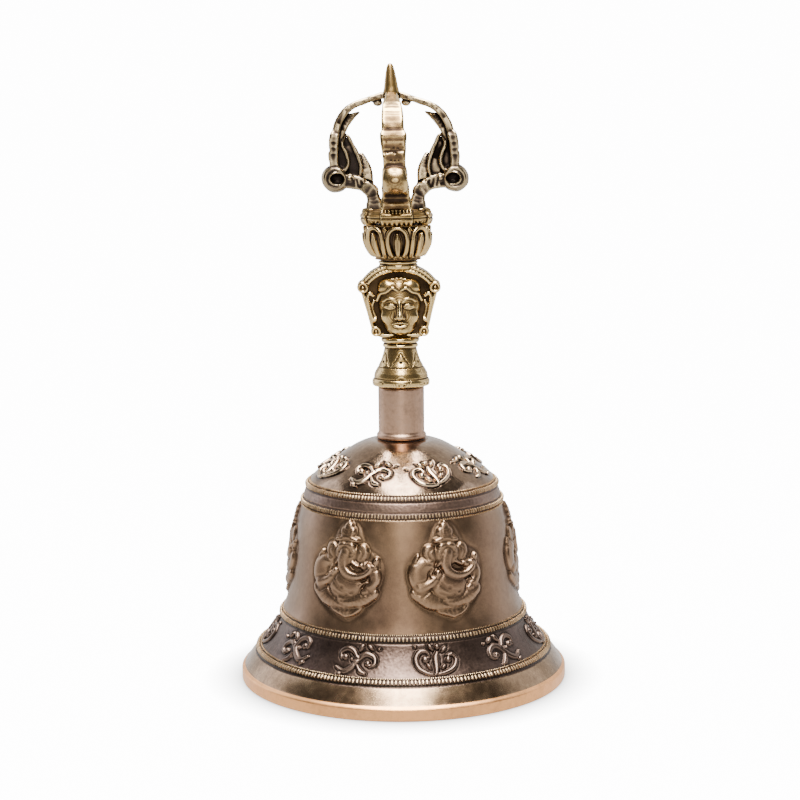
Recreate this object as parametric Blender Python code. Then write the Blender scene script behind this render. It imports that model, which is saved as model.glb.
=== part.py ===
"""Tibetan hand bell with a vajra handle, built from its separate castings and fittings.

Run it with Blender 4.5: blender --background --python part.py

Lengths are in metres. The origin is on the bell's axis, in the plane of its rim, and +Z is up.
The face on the handle looks along -Y. The bell hangs its clapper on a closed link: the link rocks
about the eye bolt's lower bar (an X axis), and the clapper about the link's lower bar (a Y axis).
"""

from math import acos, cos, hypot, pi, radians, sin, sqrt, tau

import bmesh
import bpy
from mathutils import Matrix, Vector

MM = 0.001

# Fits
GAP = 0.3 * MM  # left between two pieces that touch
BORE_CLEARANCE = 0.3 * MM  # on the radius, between a rod and the hole it passes

# Bell casting
RIM_RADIUS = 45.0 * MM
BELL_HEIGHT = 66.2 * MM  # rim to the flat seat on the crown
BELL_WALL = 2.6 * MM
CROWN_WALL = 3.2 * MM
CROWN_SEAT_RADIUS = 7.2 * MM
LIP_WALL = 3.6 * MM
LIP_HEIGHT = 4.0 * MM
LIP_TAPER = 0.9 * MM
LIP_ROUND = 0.5 * MM
LOWER_RING_HEIGHT = 8.8 * MM
LOWER_RING_INSET = 4.7 * MM  # from the rim's radius
UPPER_RING_HEIGHT = 18.5 * MM
UPPER_RING_FLARE = 1.8 * MM  # from the waist's lower radius
BAND_HOLLOW = 0.35 * MM  # how far the band between the two flare rings curves in
WAIST_FOOT_HEIGHT = 24.0 * MM
WAIST_FOOT_RADIUS = 31.9 * MM
WAIST_BULGE = 0.35 * MM
WAIST_HEAD_RADIUS = 27.4 * MM
SHOULDER_DROP = 12.0 * MM  # from the crown seat down to the upper shoulder ring
SHOULDER_RING_SPACING = 4.3 * MM
SHOULDER_RADIUS = 26.0 * MM
DOME_BULGE = 1.7 * MM
RING_HALF_WIDTH = 0.9 * MM
RING_RISE = 0.45 * MM

# Neck sleeve between the crown and the handle
SLEEVE_RADIUS = 6.3 * MM
SLEEVE_LENGTH = 14.2 * MM
SLEEVE_RING_RISE = 0.5 * MM
SLEEVE_RING_HEIGHT = 1.1 * MM

# Handle column with the two-faced panel; heights are from the column's own foot
COLLAR_RADIUS = 7.8 * MM
COLLAR_HEIGHT = 2.2 * MM
CONE_TOP_RADIUS = 4.4 * MM
CONE_TOP_HEIGHT = 10.0 * MM
PANEL_FOOT_HEIGHT = 13.0 * MM
PANEL_FOOT_HALF_WIDTH = 6.2 * MM
PANEL_HALF_WIDTH = 11.1 * MM
PANEL_SHOULDER_HEIGHT = 27.4 * MM
PANEL_TOP_HEIGHT = 32.6 * MM
PANEL_HALF_DEPTH = 4.2 * MM
ROSETTE_RADIUS = 1.5 * MM
ROSETTE_PROUD = 0.8 * MM
HEAD_HEIGHT = 20.6 * MM  # centre of the head above the column's foot
HEAD_HALF_WIDTH = 6.1 * MM
HEAD_HALF_DEPTH = 7.2 * MM
HEAD_HALF_LENGTH = 7.7 * MM
COLUMN_LENGTH = 34.0 * MM
COLUMN_TOP_RADIUS = 5.3 * MM
COLUMN_NECK_SINK = 1.5 * MM  # how far the round neck reaches down into the panel's arch

# Lotus cup and the plinth that carries the prongs
LOTUS_RADIUS = 9.1 * MM
LOTUS_FOOT_RADIUS = 5.3 * MM
LOTUS_LENGTH = 9.6 * MM
PLINTH_RADIUS = 9.6 * MM
PLINTH_LENGTH = 3.9 * MM

# Prongs; each stands at its foot circle and leans in to the spire
PRONG_COUNT = 4
PRONG_FOOT_RADIUS = 5.6 * MM
PRONG_CAGE_HEIGHT = 29.9 * MM  # plinth top to the underside of the prongs' meeting point
PRONG_REACH = 15.0 * MM  # centreline of the outer arc from the axis
PRONG_HALF_WIDTH = 3.2 * MM
CURL_RADIUS = 3.6 * MM
CURL_CENTRE_RADIUS = 16.1 * MM
CURL_CENTRE_HEIGHT = 8.3 * MM
PEG_RADIUS = 1.1 * MM
PEG_LENGTH = 1.9 * MM

# Centre spire: a pin from the column to the tip
SPIRE_PIN_RADIUS = 1.9 * MM
SPIRE_PIN_DEPTH = 11.0 * MM  # into the column
SPIRE_HEAD_RADIUS = 2.2 * MM
SPIRE_TIP_RADIUS = 0.7 * MM
SPIRE_TIP_LENGTH = 7.3 * MM

# Eye bolt, nut and washer that clamp bell, sleeve and column together
BOLT_RADIUS = 2.0 * MM
BOLT_REACH = 9.0 * MM  # into the column
WASHER_RADIUS = 6.0 * MM
WASHER_THICKNESS = 1.0 * MM
NUT_ACROSS_FLATS = 7.0 * MM
NUT_THICKNESS = 3.2 * MM
EYE_BAR_RADIUS = 1.3 * MM
EYE_RADIUS = 3.6 * MM  # centreline of the ring

# Link and clapper
LINK_BAR_RADIUS = 1.0 * MM
LINK_STRAIGHT = 4.4 * MM
CLAPPER_EYE_BAR_RADIUS = 1.1 * MM
CLAPPER_EYE_SLACK = 0.4 * MM  # extra play below the link's bar
CLAPPER_ROD_RADIUS = 1.5 * MM
BALL_RADIUS = 7.0 * MM
BALL_HEIGHT = 12.5 * MM  # centre of the ball above the rim's plane
BALL_COLLAR_RADIUS = 3.0 * MM
BALL_COLLAR_HEIGHT = 1.6 * MM
BALL_BORE_DEPTH = 6.5 * MM

# Facets
TURNED_STEPS = 48
SMALL_STEPS = 24

# Heights that follow from the sizes above
SLEEVE_FOOT = BELL_HEIGHT + GAP
COLUMN_FOOT = SLEEVE_FOOT + SLEEVE_LENGTH + GAP
COLUMN_TOP = COLUMN_FOOT + COLUMN_LENGTH
LOTUS_FOOT = COLUMN_TOP + GAP
PLINTH_FOOT = LOTUS_FOOT + LOTUS_LENGTH + GAP
PLINTH_TOP = PLINTH_FOOT + PLINTH_LENGTH
PRONG_FOOT = PLINTH_TOP + GAP
PRONG_TOP = PLINTH_TOP + PRONG_CAGE_HEIGHT
CROWN_INSIDE = BELL_HEIGHT - CROWN_WALL
WASHER_TOP = CROWN_INSIDE - GAP
NUT_TOP = WASHER_TOP - WASHER_THICKNESS - GAP
EYE_TOP = NUT_TOP - NUT_THICKNESS - GAP
EYE_CENTRE = EYE_TOP - EYE_BAR_RADIUS - EYE_RADIUS
LINK_PIVOT = EYE_CENTRE - EYE_RADIUS
LINK_BEND_RADIUS = EYE_BAR_RADIUS + BORE_CLEARANCE + LINK_BAR_RADIUS
CLAPPER_PIVOT = LINK_PIVOT - LINK_STRAIGHT - LINK_BEND_RADIUS
CLAPPER_EYE_HOLE = LINK_BAR_RADIUS + BORE_CLEARANCE + CLAPPER_EYE_SLACK
CLAPPER_EYE_RADIUS = CLAPPER_EYE_HOLE + CLAPPER_EYE_BAR_RADIUS
CLAPPER_EYE_CENTRE = CLAPPER_PIVOT - CLAPPER_EYE_SLACK


def clear_scene():
    for old in list(bpy.data.objects):
        bpy.data.objects.remove(old)


def metal(name, colour, roughness):
    """A metallic Principled material."""
    made = bpy.data.materials.new(name)
    made.use_nodes = True
    shader = made.node_tree.nodes["Principled BSDF"]
    shader.inputs["Base Color"].default_value = (*colour, 1)
    shader.inputs["Metallic"].default_value = 1.0
    shader.inputs["Roughness"].default_value = roughness
    made.diffuse_color = (*colour, 1)
    return made


def add_object(name, mesh, material=None, location=(0, 0, 0)):
    made = bpy.data.objects.new(name, mesh)
    made.location = location
    if material is not None:
        mesh.materials.append(material)
    bpy.context.collection.objects.link(made)
    return made


def smoothed(mesh):
    mesh.shade_smooth()
    mesh.set_sharp_from_angle(angle=radians(35))
    return mesh


def hide_helper(helper):
    helper.hide_render = True
    helper.display_type = "WIRE"


def combine(target, helper, operation):
    """Adds a Boolean of a hidden helper to the target."""
    hide_helper(helper)
    modifier = target.modifiers.new(helper.name, "BOOLEAN")
    modifier.operation = operation
    modifier.solver = "EXACT"
    modifier.object = helper


def mesh_from(name, bm):
    bmesh.ops.recalc_face_normals(bm, faces=bm.faces)
    mesh = bpy.data.meshes.new(name)
    bm.to_mesh(mesh)
    bm.free()
    return smoothed(mesh)


def baked_mesh(source):
    """The evaluated mesh of an object, as a new mesh without modifiers."""
    graph = bpy.context.evaluated_depsgraph_get()
    return bpy.data.meshes.new_from_object(source.evaluated_get(graph))


def turned(name, profile, material=None, steps=TURNED_STEPS, height=0.0):
    """A closed (radius, height) outline turned about Z. Outlines run down their outer side."""
    bm = bmesh.new()
    points = [bm.verts.new((radius, 0, z)) for radius, z in profile]
    for start, end in zip(points, points[1:]):
        bm.edges.new((start, end))
    touches_axis = profile[0][0] == 0 and profile[-1][0] == 0
    if not touches_axis:
        bm.edges.new((points[-1], points[0]))
    mesh = bpy.data.meshes.new(name)
    bm.to_mesh(mesh)
    bm.free()
    made = add_object(name, mesh, material, (0, 0, height))
    screw = made.modifiers.new("Turn", "SCREW")
    screw.axis = "Z"
    screw.angle = tau
    screw.steps = steps
    screw.render_steps = steps
    screw.use_merge_vertices = True
    screw.merge_threshold = 0.00001
    screw.use_smooth_shade = True
    return made


def arc(start, end, bulge, count):
    """Points after start up to end on a circular arc; bulge is its rise to the left of start-end."""
    (x0, y0), (x1, y1) = start, end
    chord = hypot(x1 - x0, y1 - y0)
    side = Vector((-(y1 - y0) / chord, (x1 - x0) / chord))
    radius = (chord * chord / 4 + bulge * bulge) / (2 * abs(bulge))
    sign = 1 if bulge > 0 else -1
    middle = Vector(((x0 + x1) / 2, (y0 + y1) / 2))
    centre = middle + side * sign * (abs(bulge) - radius)
    first = Vector(start) - centre
    last = Vector(end) - centre
    swing = last.angle_signed(first)
    points = []
    for step in range(1, count + 1):
        angle = swing * step / count
        turned_point = Matrix.Rotation(angle, 2) @ first
        points.append(tuple(centre + turned_point))
    return points


def smooth_curve(stations, count):
    """A Catmull-Rom curve through stations of any dimension, count pieces per stretch."""
    ends = [stations[0], *stations, stations[-1]]
    points = [Vector(stations[0])]
    for before, start, end, after in zip(ends, ends[1:], ends[2:], ends[3:]):
        p0, p1, p2, p3 = Vector(before), Vector(start), Vector(end), Vector(after)
        for step in range(1, count + 1):
            t = step / count
            bend = 2 * p0 - 5 * p1 + 4 * p2 - p3
            twist = 3 * p1 - p0 - 3 * p2 + p3
            points.append((2 * p1 + (p2 - p0) * t + bend * t * t + twist * t**3) / 2)
    return points


def along_outline(points, index):
    """Unit tangent and left-hand normal of a plane outline at one of its points."""
    before = Vector(points[max(index - 1, 0)])
    after = Vector(points[min(index + 1, len(points) - 1)])
    tangent = (after - before).normalized()
    return tangent, Vector((-tangent.y, tangent.x))


def bell_skin():
    """The bell's outer line from crown seat down to lip, and the places of its four raised rings."""
    upper_shoulder = (SHOULDER_RADIUS, BELL_HEIGHT - SHOULDER_DROP)
    lower_shoulder = (WAIST_HEAD_RADIUS, upper_shoulder[1] - SHOULDER_RING_SPACING)
    waist_foot = (WAIST_FOOT_RADIUS, WAIST_FOOT_HEIGHT)
    upper_ring = (WAIST_FOOT_RADIUS + UPPER_RING_FLARE, UPPER_RING_HEIGHT)
    lower_ring = (RIM_RADIUS - LOWER_RING_INSET, LOWER_RING_HEIGHT)
    lip = (RIM_RADIUS - LIP_TAPER, LIP_HEIGHT)

    line = [(CROWN_SEAT_RADIUS, BELL_HEIGHT)]
    line += arc(line[-1], upper_shoulder, DOME_BULGE, 7)
    ring_places = [len(line) - 1]
    line.append(lower_shoulder)
    ring_places.append(len(line) - 1)
    line += arc(lower_shoulder, waist_foot, WAIST_BULGE, 4)
    line.append(((waist_foot[0] * 0.7 + upper_ring[0] * 0.3), (waist_foot[1] + upper_ring[1]) / 2))
    line.append(upper_ring)
    ring_places.append(len(line) - 1)
    line += arc(upper_ring, lower_ring, -BAND_HOLLOW, 2)
    ring_places.append(len(line) - 1)
    line += arc(lower_ring, lip, -BAND_HOLLOW, 2)
    return line, ring_places


def bell_profile():
    """Closed section of the bell wall, from the crown's bore round the outside and back inside."""
    skin, ring_places = bell_skin()
    bore = BOLT_RADIUS + BORE_CLEARANCE
    outer = []
    for index, point in enumerate(skin):
        if index not in ring_places:
            outer.append(point)
            continue
        tangent, normal = along_outline(skin, index)
        place = Vector(point)
        for shift, rise in ((-1, 0), (-0.5, 1), (0.5, 1), (1, 0)):
            outer.append(tuple(place + tangent * RING_HALF_WIDTH * shift + normal * RING_RISE * rise))
    rim = [
        (RIM_RADIUS, LIP_HEIGHT - LIP_TAPER),
        (RIM_RADIUS, LIP_ROUND),
        (RIM_RADIUS - LIP_ROUND, 0),
        (RIM_RADIUS - LIP_WALL, 0),
    ]
    inner = []
    for index in range(len(skin) - 1, 0, -1):
        _, normal = along_outline(skin, index)
        point = Vector(skin[index]) - normal * BELL_WALL
        if point.y < CROWN_INSIDE - GAP and point.x > WASHER_RADIUS + BELL_WALL:
            inner.append(tuple(point))
    seat = (WASHER_RADIUS + GAP, CROWN_INSIDE)
    return [(bore, BELL_HEIGHT), *outer, *rim, *inner, seat, (bore, CROWN_INSIDE)]


def sleeve_profile():
    bore = BOLT_RADIUS + BORE_CLEARANCE
    ring = SLEEVE_RADIUS + SLEEVE_RING_RISE
    return [
        (bore, SLEEVE_LENGTH),
        (SLEEVE_RADIUS, SLEEVE_LENGTH),
        (SLEEVE_RADIUS, SLEEVE_RING_HEIGHT * 1.3),
        (ring, SLEEVE_RING_HEIGHT),
        (ring, 0),
        (bore, 0),
    ]


def column_profile():
    """The column's turned section. The panel and the head are joined to it."""
    moulding = (PANEL_FOOT_HEIGHT - CONE_TOP_HEIGHT) / 2
    waist_height = CONE_TOP_HEIGHT + moulding
    cone = arc((CONE_TOP_RADIUS, CONE_TOP_HEIGHT), (COLLAR_RADIUS, COLLAR_HEIGHT), -0.35 * MM, 4)
    return [
        (0, COLUMN_LENGTH),
        (COLUMN_TOP_RADIUS, COLUMN_LENGTH),
        (COLUMN_TOP_RADIUS, PANEL_TOP_HEIGHT - COLUMN_NECK_SINK),
        (PANEL_HALF_DEPTH - GAP, PANEL_TOP_HEIGHT - 2 * COLUMN_NECK_SINK),
        (PANEL_HALF_DEPTH - GAP, waist_height + moulding),
        (CONE_TOP_RADIUS + 0.7 * MM, waist_height + moulding),
        (CONE_TOP_RADIUS + 0.3 * MM, waist_height),
        (CONE_TOP_RADIUS, CONE_TOP_HEIGHT),
        *cone,
        (COLLAR_RADIUS, 0),
        (0, 0),
    ]


def panel_outline():
    """The head panel seen from the front: narrow at its foot, wide at its shoulders, arched on top."""
    shoulder = (PANEL_HALF_WIDTH, PANEL_SHOULDER_HEIGHT)
    foot = (PANEL_FOOT_HALF_WIDTH, PANEL_FOOT_HEIGHT)
    cheek = (PANEL_FOOT_HALF_WIDTH + 1.6 * MM, PANEL_FOOT_HEIGHT + 2.0 * MM)
    right = [foot, cheek, shoulder, (PANEL_HALF_WIDTH - 1.0 * MM, PANEL_SHOULDER_HEIGHT + 1.8 * MM)]
    left = [(-x, z) for x, z in reversed(right)]
    arch_rise = PANEL_TOP_HEIGHT - right[-1][1]
    return right + arc(right[-1], left[0], -arch_rise, 8)[:-1] + left


def extruded(name, outline, half_depth, height):
    """A plane (x, z) outline with depth along Y."""
    bm = bmesh.new()
    face = bm.faces.new([bm.verts.new((x, -half_depth, z)) for x, z in outline])
    sides = bmesh.ops.extrude_face_region(bm, geom=[face])["geom"]
    moved = [item for item in sides if isinstance(item, bmesh.types.BMVert)]
    bmesh.ops.translate(bm, vec=(0, 2 * half_depth, 0), verts=moved)
    return add_object(name, mesh_from(name, bm), location=(0, 0, height))


def rosettes(name):
    """Four round bosses through the panel, at its shoulders and by its foot."""
    bm = bmesh.new()
    upper = (PANEL_HALF_WIDTH - ROSETTE_RADIUS * 0.9, PANEL_SHOULDER_HEIGHT)
    lower = (PANEL_FOOT_HALF_WIDTH + 0.4 * MM, PANEL_FOOT_HEIGHT + 2.6 * MM)
    for x, z in (upper, lower):
        for side in (1, -1):
            place = Matrix.Translation((side * x, 0, z)) @ Matrix.Rotation(pi / 2, 4, "X")
            depth = 2 * (PANEL_HALF_DEPTH + ROSETTE_PROUD)
            bmesh.ops.create_cone(
                bm,
                cap_ends=True,
                segments=12,
                radius1=ROSETTE_RADIUS,
                radius2=ROSETTE_RADIUS,
                depth=depth,
                matrix=place,
            )
    return add_object(name, mesh_from(name, bm), location=(0, 0, COLUMN_FOOT))


def ellipsoid(name, radii, location, segments=24, rings=12):
    bm = bmesh.new()
    bmesh.ops.create_uvsphere(
        bm, u_segments=segments, v_segments=rings, radius=1.0, matrix=Matrix.Diagonal((*radii, 1))
    )
    return add_object(name, mesh_from(name, bm), location=location)


def rod_cutter(name, radius, low, high, steps=SMALL_STEPS):
    return turned(name, [(0, high), (radius, high), (radius, low), (0, low)], steps=steps)


def head_column(material):
    column = turned("head_column", column_profile(), material, height=COLUMN_FOOT)
    panel = extruded("panel", panel_outline(), PANEL_HALF_DEPTH, COLUMN_FOOT)
    combine(column, panel, "UNION")
    combine(column, rosettes("rosettes"), "UNION")
    radii = (HEAD_HALF_WIDTH, HEAD_HALF_DEPTH, HEAD_HALF_LENGTH)
    combine(column, ellipsoid("head", radii, (0, 0, COLUMN_FOOT + HEAD_HEIGHT)), "UNION")
    bolt_hole = BOLT_RADIUS + BORE_CLEARANCE
    hole_top = COLUMN_FOOT + BOLT_REACH + GAP
    combine(column, rod_cutter("bolt_hole", bolt_hole, COLUMN_FOOT - GAP, hole_top), "DIFFERENCE")
    pin_hole = SPIRE_PIN_RADIUS + BORE_CLEARANCE
    hole_foot = COLUMN_TOP - SPIRE_PIN_DEPTH - GAP
    combine(column, rod_cutter("pin_hole", pin_hole, hole_foot, COLUMN_TOP + GAP), "DIFFERENCE")


def lotus_profile():
    bore = SPIRE_PIN_RADIUS + BORE_CLEARANCE
    widest = (LOTUS_RADIUS, LOTUS_LENGTH * 0.6)
    foot = (LOTUS_FOOT_RADIUS, 0.5 * MM)
    return [
        (bore, LOTUS_LENGTH),
        (LOTUS_RADIUS - 0.5 * MM, LOTUS_LENGTH),
        (LOTUS_RADIUS, LOTUS_LENGTH - 0.6 * MM),
        widest,
        *arc(widest, foot, 0.9 * MM, 6),
        (LOTUS_FOOT_RADIUS, 0),
        (bore, 0),
    ]


def plinth_profile():
    bore = SPIRE_PIN_RADIUS + BORE_CLEARANCE
    return [
        (bore, PLINTH_LENGTH),
        (PLINTH_RADIUS - 1.3 * MM, PLINTH_LENGTH),
        (PLINTH_RADIUS - 0.2 * MM, PLINTH_LENGTH * 0.72),
        (PLINTH_RADIUS, PLINTH_LENGTH * 0.5),
        (PLINTH_RADIUS - 0.2 * MM, PLINTH_LENGTH * 0.3),
        (PLINTH_RADIUS - 0.4 * MM, 0),
        (bore, 0),
    ]


def peg_holes():
    """The four sockets in the plinth's top."""
    bm = bmesh.new()
    depth = PEG_LENGTH + GAP
    for number in range(PRONG_COUNT):
        turn = Matrix.Rotation(tau * number / PRONG_COUNT, 4, "Z")
        place = turn @ Matrix.Translation((PRONG_FOOT_RADIUS, 0, PLINTH_TOP - depth / 2 + GAP / 2))
        bmesh.ops.create_cone(
            bm,
            cap_ends=True,
            segments=12,
            radius1=PEG_RADIUS + BORE_CLEARANCE,
            radius2=PEG_RADIUS + BORE_CLEARANCE,
            depth=depth + GAP,
            matrix=place,
        )
    return add_object("peg_holes", mesh_from("peg_holes", bm))


def band(name, stations, sides=8, count=3, foot_normal=None, tip_normal=None):
    """A bar in the XZ plane through stations (radius, height, half thickness, half width along Y).

    A given foot or tip normal sets the plane of that end's cut.
    """
    curve = smooth_curve(stations, count)
    path = [Vector((point[0], point[1])) for point in curve]
    bm = bmesh.new()
    loops = []
    for index, point in enumerate(curve):
        _, normal = along_outline(path, index)
        if foot_normal and index == 0:
            normal = Vector(foot_normal)
        if tip_normal and index == len(curve) - 1:
            normal = Vector(tip_normal)
        loop = []
        for side in range(sides):
            angle = tau * (side + 0.5) / sides
            out = normal * point[2] * cos(angle)
            loop.append(bm.verts.new((point[0] + out.x, point[3] * sin(angle), point[1] + out.y)))
        loops.append(loop)
    for first, second in zip(loops, loops[1:]):
        for side in range(sides):
            after = (side + 1) % sides
            bm.faces.new((first[side], first[after], second[after], second[side]))
    bm.faces.new(loops[0])
    bm.faces.new(reversed(loops[-1]))
    return add_object(name, mesh_from(name, bm), location=(0, 0, PRONG_FOOT))


def prong_mesh():
    """One prong in the XZ plane: stem and leaf, curl, outer arc, barb, spike and foot peg."""
    top = PRONG_TOP - PRONG_FOOT
    tip_radius = SPIRE_HEAD_RADIUS + GAP
    wide = PRONG_HALF_WIDTH
    stem = band(
        "prong_stem",
        [
            (PRONG_FOOT_RADIUS, 0, 2.5 * MM, wide * 1.15),
            (PRONG_FOOT_RADIUS + 0.9 * MM, 3.4 * MM, 2.1 * MM, wide * 0.95),
            (PRONG_FOOT_RADIUS + 3.6 * MM, 7.6 * MM, 2.6 * MM, wide),
            (PRONG_FOOT_RADIUS + 5.3 * MM, 12.5 * MM, 2.2 * MM, wide * 0.9),
            (PRONG_FOOT_RADIUS + 7.2 * MM, 18.0 * MM, 1.3 * MM, wide * 0.7),
        ],
        foot_normal=(-1, 0),
    )
    bridge = band(
        "prong_bridge",
        [
            (PRONG_FOOT_RADIUS + 2.6 * MM, 6.6 * MM, 1.6 * MM, wide * 0.7),
            (CURL_CENTRE_RADIUS - 3.4 * MM, CURL_CENTRE_HEIGHT - 1.8 * MM, 1.2 * MM, wide * 0.7),
            (CURL_CENTRE_RADIUS - 0.6 * MM, CURL_CENTRE_HEIGHT - 1.0 * MM, 1.2 * MM, wide * 0.7),
        ],
    )
    outer_arc = band(
        "prong_arc",
        [
            (PRONG_REACH + 0.2 * MM, CURL_CENTRE_HEIGHT + 1.0 * MM, 1.2 * MM, wide * 0.9),
            (PRONG_REACH + 0.1 * MM, CURL_CENTRE_HEIGHT + 7.0 * MM, 1.3 * MM, wide * 1.05),
            (PRONG_REACH - 1.0 * MM, top - 8.2 * MM, 1.2 * MM, wide * 1.0),
            (PRONG_REACH - 4.6 * MM, top - 3.2 * MM, 1.0 * MM, wide * 0.85),
            (PRONG_REACH - 9.6 * MM, top - 0.6 * MM, 0.8 * MM, wide * 0.75),
            (tip_radius, top + 0.2 * MM, 0.8 * MM, wide * 0.6),
        ],
        tip_normal=(0, -1),
    )
    barb = band(
        "prong_barb",
        [
            (PRONG_REACH - 0.8 * MM, top - 11.5 * MM, 0.9 * MM, wide * 0.5),
            (PRONG_REACH - 3.4 * MM, top - 9.0 * MM, 0.8 * MM, wide * 0.4),
            (PRONG_REACH - 5.4 * MM, top - 7.8 * MM, 0.25 * MM, wide * 0.2),
        ],
        sides=6,
        count=2,
    )
    spike = band(
        "prong_spike",
        [
            (PRONG_FOOT_RADIUS + 1.6 * MM, 7.0 * MM, 1.2 * MM, wide * 0.5),
            (PRONG_FOOT_RADIUS + 2.0 * MM, 11.0 * MM, 0.8 * MM, wide * 0.35),
            (PRONG_FOOT_RADIUS + 2.4 * MM, 14.2 * MM, 0.2 * MM, wide * 0.12),
        ],
        sides=6,
        count=2,
    )
    curl_place = (CURL_CENTRE_RADIUS, 0, PRONG_FOOT + CURL_CENTRE_HEIGHT)
    curl = ellipsoid("prong_curl", (CURL_RADIUS, wide, CURL_RADIUS), curl_place, 14, 8)
    peg_top = PRONG_FOOT + 1.0 * MM
    peg = rod_cutter("prong_peg", PEG_RADIUS, PLINTH_TOP - PEG_LENGTH, peg_top, steps=12)
    peg.location.x = PRONG_FOOT_RADIUS
    for piece in (bridge, curl, outer_arc, barb, spike, peg):
        combine(stem, piece, "UNION")
    # The mesh keeps the stem's own place, so the object stands at the same height.
    mesh = baked_mesh(stem)
    for helper in (stem, bridge, curl, outer_arc, barb, spike, peg):
        bpy.data.objects.remove(helper)
    return smoothed(mesh)


def prongs(material):
    """Four equal prongs about the axis, sharing one mesh."""
    mesh = prong_mesh()
    mesh.materials.clear()
    mesh.materials.append(material)
    for number, side in enumerate(("right", "back", "left", "front")):
        prong = bpy.data.objects.new("prong_" + side, mesh)
        prong.location = (0, 0, PRONG_FOOT)
        prong.rotation_euler = (0, 0, tau * number / PRONG_COUNT)
        bpy.context.collection.objects.link(prong)


def spire_profile():
    """From the tip down to the pin's end inside the column."""
    head_foot = PRONG_TOP - 1.6 * MM
    head_top = PRONG_TOP + 1.4 * MM
    tip = head_top + SPIRE_TIP_LENGTH
    pin_end = COLUMN_TOP - SPIRE_PIN_DEPTH
    return [
        (0, tip),
        (SPIRE_TIP_RADIUS, tip - 0.3 * MM),
        (SPIRE_HEAD_RADIUS - 0.5 * MM, head_top + SPIRE_TIP_LENGTH * 0.4),
        (SPIRE_HEAD_RADIUS, head_top),
        (SPIRE_HEAD_RADIUS, head_foot),
        (SPIRE_PIN_RADIUS, head_foot - 1.0 * MM),
        (SPIRE_PIN_RADIUS, pin_end),
        (0, pin_end),
    ]


def tube_loop(name, path, radius, sides=12):
    """A closed round bar along a closed path of (across, height) points; across lies along X."""
    bm = bmesh.new()
    loops = []
    for index, point in enumerate(path):
        before = Vector(path[index - 1])
        after = Vector(path[(index + 1) % len(path)])
        tangent = (after - before).normalized()
        normal = Vector((-tangent.y, tangent.x))
        loop = []
        for side in range(sides):
            angle = tau * side / sides
            out = normal * radius * cos(angle)
            loop.append(bm.verts.new((point[0] + out.x, radius * sin(angle), point[1] + out.y)))
        loops.append(loop)
    for index, first in enumerate(loops):
        second = loops[(index + 1) % len(loops)]
        for side in range(sides):
            after = (side + 1) % sides
            bm.faces.new((first[side], first[after], second[after], second[side]))
    return mesh_from(name, bm)


def circle_path(radius, count, height=0.0):
    return [
        (radius * cos(tau * step / count), height + radius * sin(tau * step / count))
        for step in range(count)
    ]


def link_path():
    """A long oval about the origin at its upper bend's centre, hanging down to its lower bend."""
    upper = [(LINK_BEND_RADIUS * cos(pi * k / 10), LINK_BEND_RADIUS * sin(pi * k / 10)) for k in range(11)]
    return upper + [(-x, -LINK_STRAIGHT - z) for x, z in upper]


def washer_profile():
    bore = BOLT_RADIUS + BORE_CLEARANCE
    top = WASHER_TOP
    foot = WASHER_TOP - WASHER_THICKNESS
    return [(bore, top), (WASHER_RADIUS, top), (WASHER_RADIUS, foot), (bore, foot)]


def hanger_nut(material):
    """A hexagon nut with chamfered corners and a clear bore."""
    corner = NUT_ACROSS_FLATS / sqrt(3)
    flat = NUT_ACROSS_FLATS / 2
    foot = NUT_TOP - NUT_THICKNESS
    bore = BOLT_RADIUS + BORE_CLEARANCE
    chamfer = (corner - flat) * 0.6
    section = [
        (bore, NUT_TOP),
        (flat, NUT_TOP),
        (corner, NUT_TOP - chamfer),
        (corner, foot + chamfer),
        (flat, foot),
        (bore, foot),
    ]
    nut = turned("hanger_nut", section, material, SMALL_STEPS)
    outline = [(corner * cos(tau * k / 6), corner * sin(tau * k / 6)) for k in range(6)]
    prism = extruded("nut_flats", outline, NUT_THICKNESS, 0)
    prism.rotation_euler.x = pi / 2
    prism.location.z = NUT_TOP - NUT_THICKNESS / 2
    combine(nut, prism, "INTERSECT")


def eye_bolt(material):
    shank_foot = EYE_CENTRE + EYE_RADIUS - 0.6 * MM
    shank_top = COLUMN_FOOT + BOLT_REACH
    section = [
        (0, shank_top),
        (BOLT_RADIUS - 0.4 * MM, shank_top),
        (BOLT_RADIUS, shank_top - 0.5 * MM),
        (BOLT_RADIUS, shank_foot),
        (0, shank_foot),
    ]
    bolt = turned("eye_bolt", section, material, SMALL_STEPS)
    mesh = tube_loop("eye_ring", circle_path(EYE_RADIUS, 28), EYE_BAR_RADIUS)
    combine(bolt, add_object("eye_ring", mesh, location=(0, 0, EYE_CENTRE)), "UNION")


def hanger_link(material):
    """The closed link in the YZ plane; its origin is on the axis it rocks about."""
    mesh = tube_loop("hanger_link", link_path(), LINK_BAR_RADIUS)
    link = add_object("hanger_link", mesh, material, (0, 0, LINK_PIVOT))
    link.rotation_euler.z = pi / 2


def clapper_pivot():
    """An empty on the clapper's swinging axis; the clapper's pieces hang from it."""
    pivot = bpy.data.objects.new("clapper_pivot", None)
    pivot.location = (0, 0, CLAPPER_PIVOT)
    bpy.context.collection.objects.link(pivot)
    return pivot


def clapper_rod(material, pivot):
    """The rod with its eye, hung on the link's lower bar."""
    eye_foot = CLAPPER_EYE_CENTRE - CLAPPER_EYE_RADIUS
    rod_foot = BALL_HEIGHT + ball_top() - BALL_BORE_DEPTH + GAP
    high = eye_foot + 0.5 * MM - CLAPPER_PIVOT
    low = rod_foot - CLAPPER_PIVOT
    section = [(0, high), (CLAPPER_ROD_RADIUS, high), (CLAPPER_ROD_RADIUS, low), (0, low)]
    rod = turned("clapper_rod", section, material, SMALL_STEPS // 2)
    rod.parent = pivot
    mesh = tube_loop("clapper_eye", circle_path(CLAPPER_EYE_RADIUS, 24), CLAPPER_EYE_BAR_RADIUS)
    combine(rod, add_object("clapper_eye", mesh, location=(0, 0, CLAPPER_EYE_CENTRE)), "UNION")


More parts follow.
